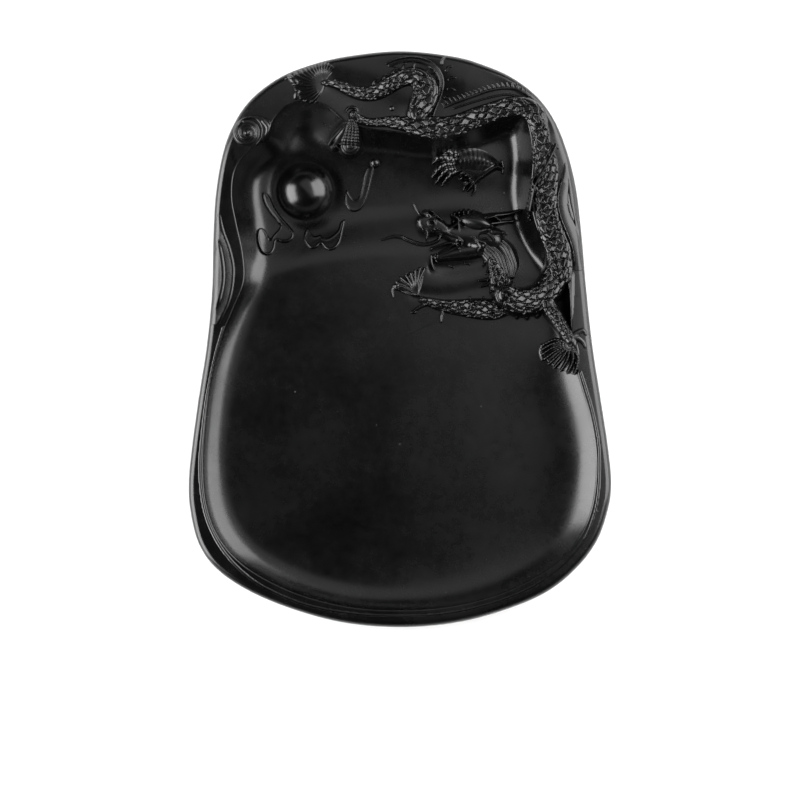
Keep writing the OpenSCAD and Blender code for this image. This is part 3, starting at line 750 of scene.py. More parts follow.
def make_pearl():
    """The pearl, as rings round its own middle, rooted in the groove that the stone has round it."""
    count = 144
    angles = np.arange(count) * 2 * math.pi / count
    direction = np.stack([np.cos(angles), np.sin(angles)], 1)
    seat = POOL - MOAT_DEPTH
    profile = [(PEARL_RADIUS, seat - ROOT)]
    profile += [(PEARL_RADIUS * math.cos(turn), seat + PEARL_RADIUS * math.sin(turn))
                for turn in np.radians(np.linspace(0, 88, 32))]
    vertices = [np.column_stack([PEARL + direction * radius, np.full(count, z)]) for radius, z in profile]
    vertices += [[[*PEARL, seat - ROOT]], [[*PEARL, seat + PEARL_RADIUS]]]
    vertices = np.concatenate(vertices)
    faces = ring_faces(len(profile), count, len(vertices) - 2, len(vertices) - 1)
    return make_piece("pearl_dome", vertices, faces, POLISHED, "pearl")


def make_bead():
    """The fine bead that edges the grinding basin, from the left shoulder round the foot to the right."""
    carving = Carving("basin_bead", margin=1.2, step=0.3)
    line = np.array([(-45.3, 5.5), (-46.6, 1), (-48, -4), (-49.3, -10), (-50.6, -17), (-51.4, -24),
                     (-52.1, -33), (-51.4, -42), (-49.4, -49), (-45.6, -55.6), (-40.2, -61.2), (-34, -65.2),
                     (-24, -69.2), (-12, -71.4), (0, -72), (12, -71.3), (24, -68.6), (34, -64.6), (42, -59),
                     (47.6, -52.6), (50.6, -45.6), (51.8, -38), (51.9, -29), (50.6, -20.5), (48.5, -13),
                     (47, -8.5)])
    widths = 1.0 - 0.35 * np.abs(np.linspace(-1, 1, len(line)))
    carving.stroke(np.column_stack([line, widths]), rise=0.3, profile=soft)
    return carving.make("basin_bead_line", STONE)


def fold(carving, points, inner, outer, rise):
    """A fold of cloud on the rim: it rises slowly on its inner side and drops quickly on its outer side."""
    points = np.array(points, float)
    at, along, across, _, curve = carving.near(points, max(inner, outer))
    steps = np.hypot(*np.diff(curve[:, :2], axis=0).T).sum()
    fade = np.clip(np.minimum(along, steps - along) / (0.18 * steps), 0, 1)
    u = np.where(across > 0, across / inner, -across / outer)
    base = carving.stone[at]
    z = base + rise * fade * np.where(across > 0, (1 - np.clip(u, 0, 1)) ** 1.5, rounded(np.clip(u, 0, 1)))
    carving.raise_to(at, np.where((u < 1) & (fade > 0.02), z, base - SUNK))


def make_left_clouds():
    carving = Carving("left_cloud_bands", margin=2.6)
    fold(carving, [(-47.4, 32.5), (-46.5, 28.5), (-44.8, 24), (-43.8, 20), (-43.6, 17), (-44, 13), (-45, 9.2),
                   (-46.6, 5.8), (-48.4, 2.6), (-49.3, 0.4)][::-1], 2.6, 0.75, 0.5)
    fold(carving, [(-47.9, 27), (-46.8, 22), (-46.3, 18), (-46.4, 14.5), (-47.1, 11), (-48.3, 7.2)][::-1],
         2.0, 0.8, 0.4)
    fold(carving, [(-45.6, 37), (-44.6, 35.4), (-43.6, 34)], 0.8, 0.5, 0.12)
    return carving.make("left_rim_clouds", STONE)


def make_right_clouds():
    carving = Carving("right_cloud_bands", margin=2.6)
    fold(carving, [(43.4, 46), (42.7, 43), (41.9, 40), (41.2, 37), (41.3, 34), (42.3, 30.6), (43.8, 27),
                   (45, 23.6), (45.5, 20.4), (45.4, 17.6)][::-1], 0.75, 2.4, 0.55)
    fold(carving, [(44, 44.6), (43.9, 40), (44.2, 36), (45.2, 32), (46.2, 28.6)][::-1], 0.7, 1.6, 0.4)
    fold(carving, [(44.7, 17.5), (44.6, 13), (44.4, 8), (44, 4.4)], 0.9, 0.6, 0.3)
    return carving.make("right_rim_clouds", STONE)


def make_scroll():
    """The scroll cloud: a coiled band round an eye."""
    carving = Carving("scroll_cloud", margin=1.6, step=0.1)
    middle = np.array([-39.9, 53.6])
    carving.bump(*middle, 7.2, rise=0.35, profile=full)
    turns = np.linspace(0, 2.15 * 2 * math.pi, 40)
    radius = 3.1 * (1 - turns / turns[-1]) ** 0.75 + 0.15
    coil = [(*(middle + r * np.array([math.cos(2.0 + a), math.sin(2.0 + a)])), 1.15 - 0.35 * a / turns[-1])
            for a, r in zip(turns, radius)]
    carving.stroke(coil, rise=0.75)
    carving.bump(*middle, 1.6, rise=0.95)
    return carving.make("scroll_cloud_coil", CARVED)


def make_lobe():
    """The lobe that sweeps over the scroll cloud and down to the edge of the pool."""
    carving = Carving("cloud_lobe", margin=3.0, step=0.12)
    carving.plateau([(-42.6, 55.4), (-41.4, 57.2), (-38.6, 58.1), (-35.6, 57.7), (-33.6, 56.6), (-33, 54.6),
                     (-34, 52.8), (-36, 51.2), (-37.6, 50.2), (-36.4, 52.6), (-36.2, 55), (-37.6, 56.9),
                     (-40.2, 57)], 0.55, edge=0.8, lip=0.12)
    carving.stroke([(-35.4, 51.6, 1.2), (-34.4, 53.4, 1.6), (-34.4, 55.2, 1.6), (-35.6, 56.6, 1.3)], rise=0.8)
    return carving.make("scroll_cloud_lobe", CARVED)


def make_curl():
    """The small cloud curl on the right rim."""
    carving = Carving("cloud_curl", margin=2.2, step=0.12)
    carving.stroke([(44.8, 0.6, 1.5), (46.2, 1.7, 1.5), (47.6, 2.2, 1.2), (48.4, 1.2, 0.8)], rise=0.6)
    carving.stroke([(45, 0.2, 2.4), (46.4, 0.1, 1.8), (47.6, -0.8, 1.3), (48.2, -2, 0.8)], rise=0.75)
    carving.stroke([(45.4, -0.6, 1.4), (46, -2.6, 1.2), (46.4, -5, 0.9), (46.7, -7, 0.6)], rise=0.4)
    return carving.make("right_cloud_curl", CARVED)


def make_wisps():
    """The flat cloud wisps in the pool."""
    left = Carving("wisp_left", margin=2.2, step=0.12)
    left.plateau([(-35.9, 38.4), (-35.7, 36), (-34.2, 33.2), (-32.4, 31), (-31.6, 29.4), (-32.6, 28),
                  (-34, 26.6), (-35.2, 28.6), (-36.8, 29), (-37.3, 27), (-37, 24.8), (-36.1, 22.8),
                  (-34.8, 21.9), (-33.4, 22.4), (-32.6, 23.8), (-32.2, 25.6), (-30.8, 25.3), (-29.2, 25.4),
                  (-27.9, 26.4), (-27.7, 28), (-28.9, 29.6), (-31, 32), (-32.8, 34.6), (-34.2, 37.6)],
                 0.75, edge=0.5, lip=0.12)
    left.groove([(-31.4, 30), (-32.2, 28.6), (-33.4, 27.6), (-33.9, 26.2)], 1.0, 0.5)
    left.make("pool_wisp_left", STONE)
    lower = Carving("wisp_lower", margin=2.0, step=0.12)
    lower.plateau([(-24.4, 29.2), (-25.2, 27), (-24.8, 25.2), (-23.4, 23.7), (-21.8, 23.9), (-20.6, 24.8),
                   (-19.6, 23.7), (-18.1, 23.2), (-16.6, 23.9), (-15.5, 25.5), (-14.9, 28), (-14.3, 31.2),
                   (-15.6, 30.6), (-16.4, 28.4), (-18.6, 26.6), (-20.1, 26.6), (-20.8, 27.4), (-21.8, 27),
                   (-22.8, 27.2), (-23.6, 28.4)], 0.7, edge=0.5, lip=0.12)
    lower.make("pool_wisp_lower", STONE)
    right = Carving("wisp_right", margin=2.0, step=0.12)
    right.plateau([(-6.6, 45.6), (-7.4, 41.6), (-8.4, 37.6), (-9.7, 34.6), (-11.4, 33.4), (-13.2, 33.7),
                   (-14.4, 35.3), (-14.6, 37.4), (-13.9, 39.1), (-13.1, 37.9), (-12.2, 36.7), (-11.4, 36.6),
                   (-10.6, 37.6), (-10, 40), (-9.4, 42.8), (-8.4, 45)], 0.75, edge=0.5, lip=0.12)
    right.bump(-6.6, 46, 2.6, rise=1.3)
    right.make("pool_wisp_right", STONE)


# ---------------------------------------------------------------- the dragon's tail and body

SCALE = 1.9      # spacing of the dragon's scales
SCALE_RISE = 0.8
# Tops of the limbs on the floor, of the head, and of the arm raised over the pool.
LIMB = FLOOR + 2.6
HEAD = FLOOR + 3.4
RAISED = POOL + 2.8

# Middle lines of the tail and the body: x, y and width.

TAIL = [(-19.8, 66.6, 1.6), (-17.5, 66.6, 2.2), (-15, 65.7, 2.8), (-12, 64.4, 3.4), (-9, 63.8, 3.9),
        (-6, 64.3, 4.3), (-3, 65.9, 4.5), (0, 67.6, 4.6), (3, 68.5, 4.8)]
LOOP = [(1.5, 68.2, 4.4), (4.4, 68, 5.6), (6.4, 66, 6.8), (6.6, 63.4, 7), (5.6, 60.8, 6.6), (4.4, 58.4, 5.4)]
UPPER = [(-2.6, 56.2, 2.6), (1, 56, 4), (4.5, 55.5, 5.4), (8, 54.9, 6.2), (12, 54.9, 6), (16, 56, 5.7),
         (20, 57.6, 5.5), (24, 59, 5.3), (28, 60.2, 5.3), (31.5, 60.5, 5.5), (34.4, 59.2, 5.7),
         (36, 56.4, 5.2)]
RIGHT = [(35.4, 58, 5), (36.4, 54.6, 5), (36.8, 51.5, 5), (37.6, 48, 5.8), (38.2, 44, 6.4), (38, 40, 6.3),
         (37.9, 36, 6), (38.3, 32, 6.1), (39.3, 28, 6.5), (40.7, 24, 7), (41.2, 20.4, 7.4), (41, 17, 7.6)]
LOWER = [(41.2, 20, 7), (40, 15.6, 7.4), (37.6, 11.8, 7.8), (34, 9.9, 8), (30.4, 9.8, 7.8), (27.4, 11.4, 7)]
NECK = [(28.4, 9.8, 5), (27, 12, 6.4), (26.2, 14.6, 6.2), (25.4, 17.4, 4.6), (24.2, 20.4, 3.6)]


def make_tail_fin():
    """The tail's fan of fine rays, in three lobes."""
    carving = Carving("tail_fin", margin=2.4, step=0.12)
    root = np.array([-19.6, 66.6])
    lobes = [(58, 112, 5.0, 5.4, 6), (118, 176, 8.6, 10.4, 9), (182, 246, 8.6, 6.2, 9)]
    for start, end, first, last, count in lobes:
        edge = []
        for i in range(count):
            share = i / (count - 1)
            angle = math.radians(start + (end - start) * share)
            reach = (first + (last - first) * share) * (0.94 + 0.1 * math.sin(share * math.pi))
            edge.append(root + reach * np.array([math.cos(angle), math.sin(angle)]))
        carving.plateau([tuple(root)] + [tuple(p) for p in edge], 0.45, edge=0.6)
    dx, dy = carving.x - root[0], carving.y - root[1]
    reach = np.hypot(dx, dy)
    ray = np.cos((np.arctan2(dy, dx) + 0.04 * reach) * 36)
    raised = carving.z > carving.stone + 0.1
    carving.z += np.where(raised, 0.4 * ray * eased((reach - 1.5) / 4), 0)
    carving.bump(-27.6, 67.2, 2.0, rise=1.0, length=3.0, turn=150)
    carving.bump(-26.8, 63.6, 1.8, rise=0.9, length=3.0, turn=250)
    return carving.make("tail_fin_fan", CARVED)


def make_tail():
    carving = Carving("tail", margin=1.8, step=0.12)
    carving.stroke(TAIL, top=CREST - 0.6, profile=full, texture=scales(1.5, 0.6))
    for x, y in ((-7, 66.4), (-4.6, 67.4), (-2.2, 68.9), (0.4, 70.2), (3.4, 71)):
        carving.stroke([(x, y - 0.4, 1.1), (x + 0.5, y + 0.8, 0.8), (x + 1.4, y + 1.6, 0.3)], rise=0.9)
    return carving.make("tail_length", CARVED)


def make_loop_fin():
    """The fin round the loop of the tail: a double-edged border, rays behind it and small flames outside."""
    carving = Carving("loop_fin", around=("body_loop", "tail"), margin=3.0, step=0.12)
    border = [(-3.6, 71.6), (0, 73), (4, 73.3), (7.4, 72.4), (9.8, 70.6), (11.1, 68), (11.2, 65.4),
              (10.3, 62.4),
              (9.2, 59.8), (8.6, 58)]
    carving.plateau(border + [(7, 60), (8.2, 63), (8.2, 66), (6.6, 68.6), (3.4, 70), (-0.4, 70)], 0.25,
                    edge=0.6)
    carving.stroke([(*p, 0.6) for p in border], rise=0.65)
    inner = [(-2.8, 71, 0.6), (0.4, 72.1, 0.6), (3.8, 72.3, 0.6), (6.8, 71.5, 0.6), (9, 69.8, 0.6),
             (10.2, 67.6, 0.6),
             (10.3, 65.4, 0.6), (9.4, 62.6, 0.6), (8.3, 60, 0.6)]
    carving.stroke(inner, rise=0.6)
    for (x0, y0), (x1, y1) in (((5.6, 67.6), (7.8, 70.6)), ((6.6, 67), (9.2, 69.4)), ((7.2, 66), (10, 67.6)),
                               ((7.6, 64.8), (10.2, 65.6)), ((7.4, 63.4), (9.8, 63.6)),
                               ((6.8, 62), (9, 61.6))):
        carving.stroke([(x0, y0, 1.2), (x1, y1, 0.5)], rise=0.85)
    for x, y, angle in ((10.8, 71.6, 60), (12, 69.8, 35), (12.6, 67.4, 15), (12.4, 65, -10),
                        (11.6, 62.8, -30)):
        way = np.array([math.cos(math.radians(angle)), math.sin(math.radians(angle))])
        start = np.array([x, y])
        bend = start + way * 1.0 + np.array([-way[1], way[0]]) * 0.3
        carving.stroke([(*start, 1.2), (*bend, 1.0), (*(start + way * 2.1), 0.3)], rise=0.45, profile=soft)
    return carving.make("loop_fin_border", CARVED)


def make_body_loop():
    carving = Carving("body_loop", margin=1.6, step=0.12)
    carving.stroke(LOOP, top=CREST - 0.4, profile=full, texture=scales(2.1, 0.8))
    carving.lift(4.2, 64, 3.4, 0.35, length=4.4, turn=100)
    return carving.make("body_loop_scales", CARVED)


def frill(carving, line, length, rise, angle):
    """A row of small spikes along a ridge line, each leaning back."""
    curve = smooth(line, 6)
    steps = np.hypot(*np.diff(curve[:, :2], axis=0).T)
    along = np.concatenate([[0], np.cumsum(steps)])
    for s in np.arange(0.4, along[-1], 1.15):
        x, y = np.interp(s, along, curve[:, 0]), np.interp(s, along, curve[:, 1])
        x1, y1 = np.interp(s + 0.4, along, curve[:, 0]), np.interp(s + 0.4, along, curve[:, 1])
        way = math.atan2(y1 - y, x1 - x) + math.radians(angle)
        tip = (x + math.cos(way) * length, y + math.sin(way) * length, 0.35)
        carving.stroke([(x, y, 1.0), tip], rise=rise)


def make_body_upper():
    carving = Carving("body_upper", margin=1.8, step=0.13)
    carving.stroke(UPPER, top=CREST - 0.5, profile=full, texture=scales(SCALE * 1.1, SCALE_RISE))
    for x, y in ((3, 54), (5.6, 53.2), (8.4, 52.6), (11, 52.5), (13.6, 53)):
        carving.bump(x, y, 1.8, top=RIM - 0.2, length=2.8, turn=70, join=0.3)
    return carving.make("body_upper_scales", CARVED)


def make_dorsal():
    """The low fin on the rim above the body."""
    carving = Carving("dorsal_fin", margin=1.8, step=0.12)
    line = [(11.6, 60.4), (15, 61.8), (19, 63.2), (23, 64.6), (27, 65.3), (30.6, 64.9), (33.4, 63.4)]
    carving.stroke([(*p, 0.9) for p in line], rise=0.4)
    frill(carving, line, 1.7, 0.28, 120)
    carving.stroke([(14, 60, 0.6), (19, 61.6, 0.6), (24, 63, 0.6), (28, 63.6, 0.6), (31, 63, 0.5)], rise=0.35)
    return carving.make("dorsal_fin_line", CARVED)


def make_body_right():
    carving = Carving("body_right", margin=2.0, step=0.13)
    carving.stroke(RIGHT, top=CREST - 0.5, profile=full, texture=scales(SCALE, SCALE_RISE))
    crossing = [(40.6, 50.4), (39.2, 47.4), (37.8, 44.6), (36.2, 42), (34.9, 39.4), (34.2, 36.4),
                (33.6, 33.2)]
    carving.stroke([(*p, 0.9) for p in crossing], top=CREST + 0.35)
    carving.stroke([(x - 1.1, y + 0.5, 0.6) for x, y in crossing[:5]], top=CREST + 0.2)
    frill(carving, [(34.6, 40.4), (34, 37), (33.4, 33.4), (33.8, 30.6)], 1.2, 1.6, -150)
    frill(carving, [(35.6, 52), (34.8, 48.6), (34.8, 45)], 1.1, 1.2, -150)
    carving.stroke([(39.2, 50.6, 1.6), (40.4, 50.2, 1.2), (41.2, 49.6, 0.4)], rise=0.8)
    return carving.make("body_right_scales", CARVED)


def make_body_lower():
    carving = Carving("body_lower", margin=1.8, step=0.13)
    carving.stroke(LOWER, top=CREST - 0.7, profile=full, texture=scales(SCALE, SCALE_RISE))
    frill(carving, [(36.4, 15.4), (34.4, 13.8), (31.6, 13), (29.4, 14)], 1.6, 2.4, 120)
    for x, y in ((38.4, 7.4), (36, 6.6), (33.4, 6.2), (30.8, 6.4)):
        carving.bump(x, y, 1.8, top=LIMB, length=2.6, turn=70, join=0.3)
    return carving.make("body_lower_scales", CARVED)


def make_neck():
    carving = Carving("neck", margin=1.8, step=0.12)
    carving.stroke(NECK, top=LIMB - 0.2, profile=full, texture=scales(1.5, 0.7))
    for x0, y0, x1, y1 in ((23.6, 12.4, 29.6, 15), (23.4, 14, 28.6, 16.2), (24.8, 11, 30, 13.2)):
        carving.stroke([(x0, y0, 0.6), ((x0 + x1) / 2, (y0 + y1) / 2 - 0.3, 0.8), (x1, y1, 0.6)],
                       top=LIMB + 0.2)
    return carving.make("neck_scales", CARVED)


# ---------------------------------------------------------------- the dragon's head

def make_head():
    carving = Carving("head", margin=2.6, step=0.1)
    top = HEAD
    # Skull, cheek and muzzle.
    carving.stroke([(24.4, 26, 6.6), (21.4, 26.6, 8.6), (18.6, 27, 9.2), (15.8, 27.2, 7.6), (13.4, 27.8, 5),
                    (11.4, 28.4, 3.6)], top=top - 0.9)
    carving.stroke([(11.6, 28.6, 3.2), (9.6, 29.6, 5.2), (7.8, 30.2, 6.4), (6.4, 30.4, 5)], top=top - 0.6,
                   profile=full, join=0.4)
    carving.stroke([(15.4, 30.9, 3.2, -1.2), (17.2, 30.9, 5, -0.3), (19.4, 30.7, 5.8, 0.3),
                    (21.4, 30.2, 5, 0.4),
                    (23, 29.7, 3, 0)], top=top, join=0.3)
    carving.stroke([(18.6, 24.6, 3, -1.1), (20, 24.4, 4.2, -0.4), (21.4, 24.3, 3, -0.1)], top=top, join=0.3)
    carving.stroke([(22.4, 27.8, 1.8, -0.9), (24.6, 27.8, 2.2, -0.3), (26.6, 27.7, 1.6, 0)], top=top,
                   join=0.2)
    carving.bump(7.4, 32.4, 2.6, top=top - 0.5, length=4, turn=-35, join=0.3)
    # Crest of small tufts over the brow.
    for x, y in ((14.2, 33), (15.4, 33.4), (16.6, 33.6), (17.8, 33.6), (19, 33.3)):
        carving.bump(x, y - 0.5, 1.1, top=top - 1.5, length=2.2, turn=75, join=0.2)
    # Hollow between brow and muzzle, then the eye in it.
    carving.groove([(11, 32), (12.4, 31.2), (13.8, 30.4)], 3.2, 1.5)
    carving.bump(14, 30.6, 1.5, top=top - 0.6)
    carving.stroke([(12.7, 28.8, 0.8), (13.8, 29.3, 0.8), (14.9, 30, 0.9), (15.4, 30.9, 0.9),
                    (14.6, 31.8, 0.9),
                    (13.4, 32.4, 0.7)], top=top + 0.1)
    carving.stroke([(15.2, 30.4, 0.9), (15.4, 29.4, 0.9), (15.3, 28.2, 0.7)], top=top + 0.05)
    # Nostril ring, wrinkles of the muzzle and the upper lip.
    carving.stroke(circle(8.3, 30.3, 1, 0.6, 13), top=top + 0.1)
    carving.groove([(8.1, 30.3), (8.3, 30.3), (8.5, 30.3)], 1.0, 0.8)
    carving.stroke([(8.2, 33.4, 0.8), (9.8, 32, 0.9), (11, 31, 0.7)], top=top)
    carving.bump(7.1, 32.9, 1.3, top=top + 0.1)
    carving.bump(7.9, 33.6, 0.9, top=top - 0.1)
    carving.stroke([(4.6, 31, 0.6), (5.3, 29.6, 0.7), (6, 28.4, 0.6)], top=top - 0.9)
    carving.stroke([(3.6, 35.4, 0.7), (4.2, 34.2, 1.0), (5, 32.8, 0.8)], rise=1.1)
    carving.stroke([(6.6, 28.8, 0.6), (7.2, 27.6, 0.8), (6.9, 26.2, 0.6)], top=top - 1.0)
    carving.groove([(8.6, 28.2), (9.4, 27.2), (9, 26.2)], 0.9, 0.7)
    carving.stroke([(9.2, 28.6, 1.0), (10.6, 28.4, 1.4), (11.8, 27.8, 1.2), (13.4, 27, 0.9), (15, 26.4, 0.9),
                    (16.2, 25.4, 0.7)], top=top - 0.1)
    # Corner of the mouth, cheek and ear.
    carving.stroke(circle(15.4, 24.9, 0.75, 0.5, 11), top=top - 0.25)
    carving.stroke([(20.2, 22.7, 0.9), (20.9, 23.8, 1.3), (20.3, 25.2, 1.2), (19.4, 26.3, 1.1),
                    (18.6, 26.7, 0.6)],
                   top=top + 0.1, profile=soft)
    carving.stroke([(20.2, 26.4, 0.6), (21, 27.4, 0.8), (22.2, 27.7, 0.8), (23.4, 27, 0.8), (24.6, 26, 0.6)],
                   top=top + 0.15)
    carving.stroke([(21.2, 26, 0.6), (22.4, 26.2, 0.8), (23.6, 25.5, 0.6)], top=top - 0.1)
    carving.stroke([(23.8, 28.2, 1.0), (25.4, 28, 1.6), (26.8, 27.8, 1.2), (27.8, 27.5, 0.6)], top=top - 0.3)
    return carving.make("head_skull", CARVED)


def make_jaw():
    carving = Carving("lower_jaw", margin=2.8, step=0.1)
    top = HEAD - 1.2
    carving.stroke([(21.6, 23.6, 4), (18.8, 23.2, 4.8), (16, 22.8, 4.6), (13.4, 22.2, 3.6), (11, 21.6, 2.8),
                    (9.4, 21.2, 1.8)], top=top)
    for shift in (0, 0.85, 1.7):
        carving.stroke([(9.8, 22.4 - shift * 0.6, 0.5), (12.2, 23.6 - shift * 0.8, 0.6),
                        (14.6, 24.8 - shift, 0.6),
                        (15.6, 24.6 - shift, 0.4)], top=top + 0.25)
    # Tongue between the jaws.
    carving.stroke([(15, 25.1, 0.8), (12.8, 25, 1.0), (10.8, 24.5, 0.9), (9.4, 24.1, 0.7), (8.3, 23.6, 0.9)],
                   top=top + 0.1)
    # Beard: short strands under the chin, and two small tufts behind them.
    for x0, y0, x1, y1 in ((8.6, 23.8, 8, 23.4), (9.2, 22, 8.3, 20.8), (9.5, 20.8, 9.7, 20),
                           (8.2, 21.8, 8.9, 18.2)):
        carving.stroke([(x0, y0, 0.8), ((x0 + x1) / 2 - 0.2, (y0 + y1) / 2, 0.8), (x1, y1, 0.4)],
                       top=top - 0.5)
    carving.stroke([(12.8, 19.2, 0.6), (13.9, 18.8, 0.7)], rise=0.9)
    carving.stroke([(17, 19.9, 0.6), (18.2, 19.6, 0.7)], rise=0.9)
    return carving.make("head_lower_jaw", CARVED)


def make_horns():
    carving = Carving("horns", margin=2.2, step=0.1)
    top = HEAD - 0.3
    carving.stroke([(20.4, 31.2, 2.4, 0), (23, 31.9, 2.2, -0.6), (26, 32.3, 1.9, -1.5),
                    (28.6, 32.8, 1.5, -2.3),
                    (31, 33.5, 1.0, -2.6)], top=top - 0.4, texture=strands(2, 0.35))
    carving.stroke([(22.6, 31.5, 0.6, 0), (24.6, 31.9, 0.8, -0.6), (25.6, 31.2, 0.8, -1.2),
                    (26.6, 30.9, 0.5, -1.6)], top=top)
    carving.stroke([(22, 30, 1.6, 0), (24.4, 30.2, 1.6, -0.8), (27, 30.5, 1.2, -1.8),
                    (29.6, 30.8, 0.8, -2.4)],
                   top=top - 0.6, texture=strands(1, 0.25))
    return carving.make("head_horns", CARVED)


def make_mane():
    """Long strands of hair that sweep from the cheek and the ear down over the neck."""
    carving = Carving("mane", margin=2.4, step=0.1)
    top = HEAD - 1.1
    carving.stroke([(21, 25.2, 3.6), (23, 23.4, 5.2), (25, 21, 6.2), (26.2, 18.4, 6), (26.8, 16, 5),
                    (27, 14.4, 3.4)],
                   top=top - 0.1, texture=strands(7, 0.42))
    carving.stroke([(22.4, 26.9, 2.2), (25.4, 25.6, 3.8), (28.2, 22.8, 4.4), (29.4, 19.6, 3.8),
                    (29.2, 16.6, 2)],
                   top=top - 0.8, texture=strands(4, 0.4))
    for x0, y0, x1, y1 in ((22.4, 21.4, 21.6, 19.4), (23.2, 19.4, 22.4, 17), (23.6, 17.4, 22.8, 15.2),
                           (22.8, 15.6, 20.4, 15.2), (23.2, 14.6, 21, 13.6)):
        carving.stroke([(x0, y0, 1.0), ((x0 + x1) / 2 + 0.3, (y0 + y1) / 2, 0.9), (x1, y1, 0.4)], rise=1.4)
    return carving.make("head_mane", CARVED)


def make_whisker():
    carving = Carving("whisker", margin=2.0, step=0.1)
    line = [(9.6, 29.6, 0.8, 2.6), (10.5, 28.4, 0.8, 2.2), (10.6, 27, 0.9, 1.6), (9.8, 25.8, 0.95, 1.1),
            (8, 25, 1.0, 0.8), (6, 24.8, 1.0, 0.7), (4, 25.2, 1.0, 0.65), (2, 26, 1.0, 0.6),
            (0, 26.8, 0.95, 0.5),
            (-2, 26.8, 0.8, 0.4), (-3.6, 26.3, 0.7, 0.3), (-5.2, 25.9, 0.5, 0.15)]
    carving.stroke(line, rise=0.35)
    carving.groove([(x, y) for x, y, _, _ in line[2:]], 0.5, 0.4)
    return carving.make("head_whisker", CARVED)


# ---------------------------------------------------------------- the dragon's legs

def muscle(carving, lumps, top):
    """Lumps of muscle: x, y, width, length, turn and height over top."""
    for x, y, width, length, turn, extra in lumps:
        carving.bump(x, y, width, top=top + extra, length=length, turn=turn, join=0.25)


def make_hind_leg():
    carving = Carving("hind_leg", margin=1.8, step=0.1)
    carving.stroke([(1, 56.4, 3.6), (-2, 56.6, 3), (-5, 56.4, 2.5), (-8, 56.4, 2.3), (-10.6, 57.2, 2.5),
                    (-12, 58.4, 2.6)], top=CREST - 0.3, profile=full, texture=scales(1.2, 0.5))
    carving.stroke([(-14.2, 59, 0.6), (-13.6, 60, 0.8), (-12.6, 60.3, 0.9), (-11.4, 60, 0.9), (-11, 59, 0.8),
                    (-11.6, 58.2, 0.6)], rise=0.9)
    carving.bump(-2.1, 60.0, 1.5, rise=0.7)
    return carving.make("hind_leg_muscle", CARVED)


def make_hind_claw():
    carving = Carving("hind_claw", margin=2.0, step=0.1)
    top = RIM + 0.3
    carving.stroke([(-12.3, 57.4, 1.8, 0.3), (-12.6, 54.8, 4.2, 0), (-12.9, 51.8, 5.8, -1.2),
                    (-13, 50.4, 6.4, -2.6)],
                   top=top, profile=full, texture=checks(6, 0.8, 0.7))
    carving.stroke([(-13.2, 56.4, 1.4, 0), (-14.8, 54.2, 3.2, -0.5), (-16, 52.2, 4.4, -2),
                    (-16.8, 50.4, 2.8, -3.8)],
                   top=top)
    carving.stroke([(-13.8, 56.2, 0.6, 0.1), (-15.8, 54, 0.8, -0.4), (-17.6, 52, 0.9, -2.4),
                    (-18.4, 50.8, 0.7, -4)],
                   top=top)
    for y in (52.8, 51.6, 50.4):
        carving.stroke([(-17.4, y + 0.4, 0.5, -3.6), (-15.4, y - 1, 0.6, -3.4)], top=top + 0.5)
    return carving.make("hind_claw_fan", CARVED)


def make_raised_arm():
    carving = Carving("raised_arm", margin=2.0, step=0.1)
    top = RAISED
    # Ruffled muscle and the thin bar that crosses it.
    carving.stroke([(15, 46.8, 4.6, -0.5), (18, 47.2, 5.8, 0), (21.2, 46.8, 5.6, 0), (24, 45.8, 3.8, 0),
                    (26, 45, 2, 0)],
                   top=top - 0.7, profile=soft, texture=rings(1.1, 0.07))
    carving.stroke([(26.8, 44.6, 1.0), (25.2, 45, 1.5), (23, 43.7, 1.4), (20.8, 42.2, 1.4), (19.2, 40.6, 1.3),
                    (17.8, 39, 0.9)], top=top + 0.1, texture=strands(1, 0.3))
    carving.stroke([(26.6, 46.6, 0.6), (27, 45, 0.9), (26.8, 43.4, 0.6)], top=top - 0.2)
    carving.stroke([(20.4, 41.4, 1.0), (18.6, 41.2, 1.2), (17, 40, 0.9), (16.6, 38.9, 0.6)], top=top - 0.2)
    carving.stroke([(19.6, 40.2, 0.9), (19.6, 38.9, 0.9), (18.8, 37.9, 0.6)], top=top - 0.5)
    for x, y in ((15, 43.8), (16.2, 43.4), (17.3, 42.8), (18.3, 42), (16, 42), (17.2, 41)):
        carving.bump(x, y, 1.4, top=top + 0.1, join=0.15)
    return carving.make("raised_arm_muscle", CARVED)


def make_raised_claw():
    carving = Carving("raised_claw", margin=2.4, step=0.1)
    top = RAISED
    carving.stroke([(15, 47.4, 3), (13.4, 46, 4.4), (12.4, 44.4, 3.6)], top=top - 0.7, profile=soft)
    fingers = [[(15, 48.2, 1.9), (13.8, 48.9, 1.7), (12.4, 48.9, 1.0), (11.4, 48.3, 0.5)],
               [(14.4, 47, 2), (12.4, 47.4, 2.3), (10.4, 47.3, 2.1), (9.2, 46.6, 1.3), (8.6, 45.9, 0.6)],
               [(13.8, 45.8, 2), (11.8, 45.6, 2.1), (10.3, 44.7, 1.8), (9.2, 43.4, 1.4), (8.4, 42.3, 0.7)],
               [(14.2, 44.6, 1.8), (12.2, 44.2, 1.9), (10.8, 42.9, 1.6), (9.9, 41.6, 1.2), (9.3, 40.7, 0.6)],
               [(15, 43.9, 1.7), (13.4, 43.2, 1.8), (12.2, 42, 1.5), (11.4, 41, 1.1), (11, 40.1, 0.6)]]
    for i, finger in enumerate(fingers):
        carving.stroke(finger, top=top + 0.1 - 0.12 * i, texture=beads(1.5, 0.35), join=0.1)
    carving.bump(14.1, 48.7, 1.9, top=top + 0.35, length=2.4, turn=30)
    carving.bump(10.2, 47.3, 1.9, top=top + 0.35, length=2.8, turn=10)
    carving.bump(13, 46.8, 1.3, top=top + 0.2)
    return carving.make("raised_claw_fingers", CARVED)


